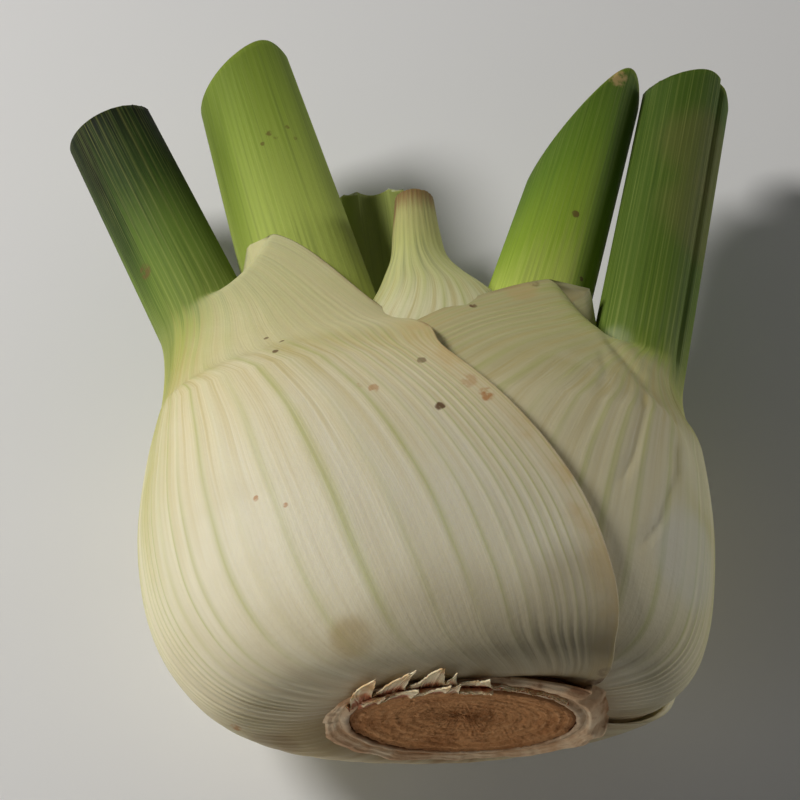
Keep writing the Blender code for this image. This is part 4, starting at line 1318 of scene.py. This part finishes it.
def leaf_finish(name, marks, vein_strength, border_shift, margin_strength, pale_auricle):
    finish = Finish(
        "skin_of_" + name, Subsurface_Weight=0.12, Subsurface_Scale=0.003, Specular_IOR_Level=0.2,
        Subsurface_Radius=(1.0, 0.8, 0.35),
    )
    across, reach, rib, edge, cut = finish.attributes("across", "reach", "rib", "edge", "cut")
    streaks = finish.streaks(across * 26, reach * 0.8, 3.0, 3.0)
    fine_streaks = finish.streaks(across * 120, reach * 2.2, 8.0, 2.0)
    clouds, grain, ragged = finish.noise(42.0, 3.0), finish.noise(950.0, 2.0), finish.noise(1100.0, 2.0)
    from_keel = across * across

    shifted = reach + (streaks - 0.5) * border_shift + (fine_streaks - 0.5) * (border_shift * 0.6)
    shifted = shifted + finish.ramp(from_keel, 0.03, 0.0) * finish.ramp(reach, 0.7, 1.4) * 0.24
    stops = [(place, srgb(*screen)) for place, *screen in LEAF_STOPS[name]]
    colour = finish.palette(shifted / WHOLE_REACH, stops)

    on_sheath = finish.ramp(reach, 0.15, 0.5) * (1 - finish.ramp(reach, 1.9, 2.4) * 0.65)
    on_stalk = finish.ramp(reach, 1.5, 2.2)
    off_stalk = 1 - on_stalk
    vein = rib**7.0 * on_sheath * finish.ramp(streaks, 0.30, 0.58)
    furrow = (1 - rib) ** 3.0 * finish.window(reach, 0.5, 1.2, 1.7, 2.1)
    round_keel = finish.ramp(from_keel, 0.1, 0.0) * finish.ramp(reach, 0.3, 1.1) * off_stalk
    auricle = finish.ramp(across, 0.25, 0.7) * finish.window(reach, 1.15, 1.5, 1.9, 2.0)
    (root,) = finish.attributes("root")
    root = root + (clouds - 0.5) * 16 + (streaks - 0.5) * 10
    below_neck = finish.fall(reach, 1.3, 1.62)
    blotch = finish.ramp(finish.noise(150.0, 3.0), 0.42, 0.68)
    band = finish.fall(edge, 2.5, 8.0) * below_neck * margin_strength
    at_auricle = finish.window(reach, 1.2, 1.45, 1.7, 1.82) * 0.7 + below_neck * 0.3
    line = finish.fall(edge, 0.3, 0.9) * at_auricle * margin_strength
    colour = finish.layers(
        colour,
        (vein * vein_strength, VEIN),
        (furrow * finish.ramp(fine_streaks, 0.3, 0.6) * 0.5, FURROW_TAN),
        (finish.ramp(fine_streaks, 0.5, 0.72) * on_stalk * 0.16, STALK_PALE),
        (finish.ramp(streaks, 0.5, 0.3) * on_stalk * 0.35, STALK_DARK),
        (round_keel * (0.35 + finish.ramp(streaks, 0.35, 0.6) * 0.35), KEEL_TONE),
        (finish.ramp(clouds, 0.52, 0.75, 0.22) * off_stalk, CLOUD_TAN),
        (finish.ramp(clouds, 0.46, 0.25, 0.18) * off_stalk, CLOUD_PALE),
        (auricle * pale_auricle, AURICLE_PALE),
        (finish.fall(root, 2.0, 12.0) * 0.4, ROOT_TAN),
        (finish.fall(root, 0.5, 5.0) * 0.5, ROOT_BROWN),
        (band * (blotch * 0.5 + 0.35), MARGIN_TAN),
        (line * (blotch * 0.6 + 0.4), MARGIN_LINE),
    )

    torn_edge = 0.8 + (finish.noise(420.0, 3.0) - 0.5) * 2.6 + (ragged - 0.5) * 1.4
    soft_edge = 0.9 + (clouds - 0.5) * 1.2 + (streaks - 0.5) * 0.8
    # each mark is a blemish, except a few broad patches that are painted shade and painted light
    for point, radius, mark_colour, strength in marks:
        mark_edge, low, high = (torn_edge, 0.2, 0.9) if radius < SOFT_FROM else (soft_edge, 0.0, 1.0)
        mask = finish.ramp(finish.near(point, radius * MM) * mark_edge, low, high)
        colour = finish.layers(colour, (mask * strength, mark_colour))

    dots = finish.ramp(finish.noise(900.0, 1.0), 0.58, 0.66)
    dry = finish.ramp(clouds, 0.4, 0.7, 0.6)
    flesh = finish.layers(FLESH, (dots * 0.5, FLESH_DRY), (dry, FLESH_DRY))
    colour = finish.layers(colour, (finish.ramp(cut, 0.25, 0.6), flesh))
    finish.put(finish.shader.inputs["Roughness"], 0.38 + grain * 0.16 + clouds * 0.08 + on_stalk * 0.2)
    height = grain * 0.5 + fine_streaks * (0.4 + off_stalk * 0.6) + ragged * 0.25
    return finish.dress(colour, height, 0.35, 0.00025)


dressed = {**leaf_pieces, "heart_leaf": heart_piece}
for name, piece in dressed.items():
    piece.data.materials.append(leaf_finish(name, marks_found.get(name, ()), *LEAF_LOOKS[name]))
print("leaf materials:", len(dressed))

# %% [markdown]
# The skins of the root end
#
# The plate is dead, dry tissue: brown, darkest near its rim, with lighter fibres, and it has no shine. The
# ring round it is paler and fleshier. The scraps are reddish brown at their feet and pale above. All
# three are made alike, from fibres along the stored values and patches in space.


# %% Materials of the root plate, the ring and the scraps
def plate_finish():
    finish = Finish("dry_root_plate", Roughness=0.9, Specular_IOR_Level=0.2)
    out, around = finish.attributes("out", "around")
    fibres = finish.streaks(out * 30, around * 2.0, 1.0, 4.0)
    grain, patches = finish.noise(700.0, 4.0), finish.noise(130.0, 3.0)
    colour = finish.layers(
        srgb(184, 126, 78),
        (finish.ramp(patches, 0.35, 0.65), srgb(208, 150, 98)),
        (finish.ramp(fibres, 0.45, 0.7, 0.6), srgb(228, 176, 124)),
        (finish.ramp(grain, 0.55, 0.7, 0.4), srgb(112, 70, 42)),
        (finish.window(out, 0.86, 0.93, 0.955, 0.99) * 0.45, srgb(104, 66, 40)),
    )
    return finish.dress(colour, grain + fibres * 0.6, 0.7, 0.0006)


def scrap_finish():
    finish = Finish("torn_leaf_bases", Roughness=0.75, Subsurface_Weight=0.1, Subsurface_Scale=0.002)
    out, around = finish.attributes("out", "around")
    fibres = finish.streaks(around * 60, out * 1.5, 5.0, 3.0)
    patches = finish.noise(230.0, 3.0)
    red_foot = finish.fall(out, 0.35, 0.85) * finish.ramp(patches + fibres, 0.72, 0.98)
    colour = finish.layers(
        srgb(244, 224, 184),
        (finish.ramp(patches, 0.46, 0.7), srgb(220, 176, 120)),
        (finish.ramp(fibres, 0.55, 0.75, 0.3), srgb(178, 128, 82)),
        (red_foot * 0.85, srgb(186, 84, 40)),
        (finish.fall(out + (fibres - 0.5) * 0.6, 0.1, 0.5) * 0.6, srgb(158, 110, 72)),
    )
    return finish.dress(colour, fibres + patches, 0.5, 0.0004)


def bases_finish():
    finish = Finish("cut_leaf_bases", Roughness=0.8, Specular_IOR_Level=0.3)
    out, around = finish.attributes("out", "around")
    fibres = finish.streaks(out * 9, around * 5, 2.0, 4.0)
    grain, patches = finish.noise(800.0, 3.0), finish.noise(170.0, 3.0)
    rusty = finish.ramp(out, 0.5, 0.95) * finish.ramp(patches + grain, 0.95, 1.2)
    colour = finish.layers(
        srgb(246, 218, 180),
        (finish.ramp(patches, 0.38, 0.62), srgb(224, 184, 142)),
        (finish.ramp(fibres, 0.5, 0.68, 0.45), srgb(194, 148, 108)),
        (finish.ramp(patches + fibres, 0.92, 0.7, 0.5), srgb(246, 230, 200)),
        (finish.fall(out + (grain - 0.5) * 0.3, 0.0, 0.10) * 0.35, srgb(120, 80, 52)),
        (rusty * 0.6, srgb(160, 96, 58)),
    )
    return finish.dress(colour, fibres + grain, 0.5, 0.0004)


crown_piece.data.materials.append(plate_finish())
bases_piece.data.materials.append(bases_finish())
scrap_material = scrap_finish()
for piece in torn_pieces:
    piece.data.materials.append(scrap_material)
print("root plate, ring and scraps dressed")

# %% [markdown]
# Hand the pieces over
#
# Every piece rides on the one body of the bulb, and the solids of the leaves, the heart and the root plate
# are hidden, since the pieces stand in for them.

# %% Ride and replace
for name, piece in dressed.items():
    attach(piece, "root")
    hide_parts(name)
for piece in (crown_piece, bases_piece, *torn_pieces):
    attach(piece, "root")
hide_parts("root_crown")
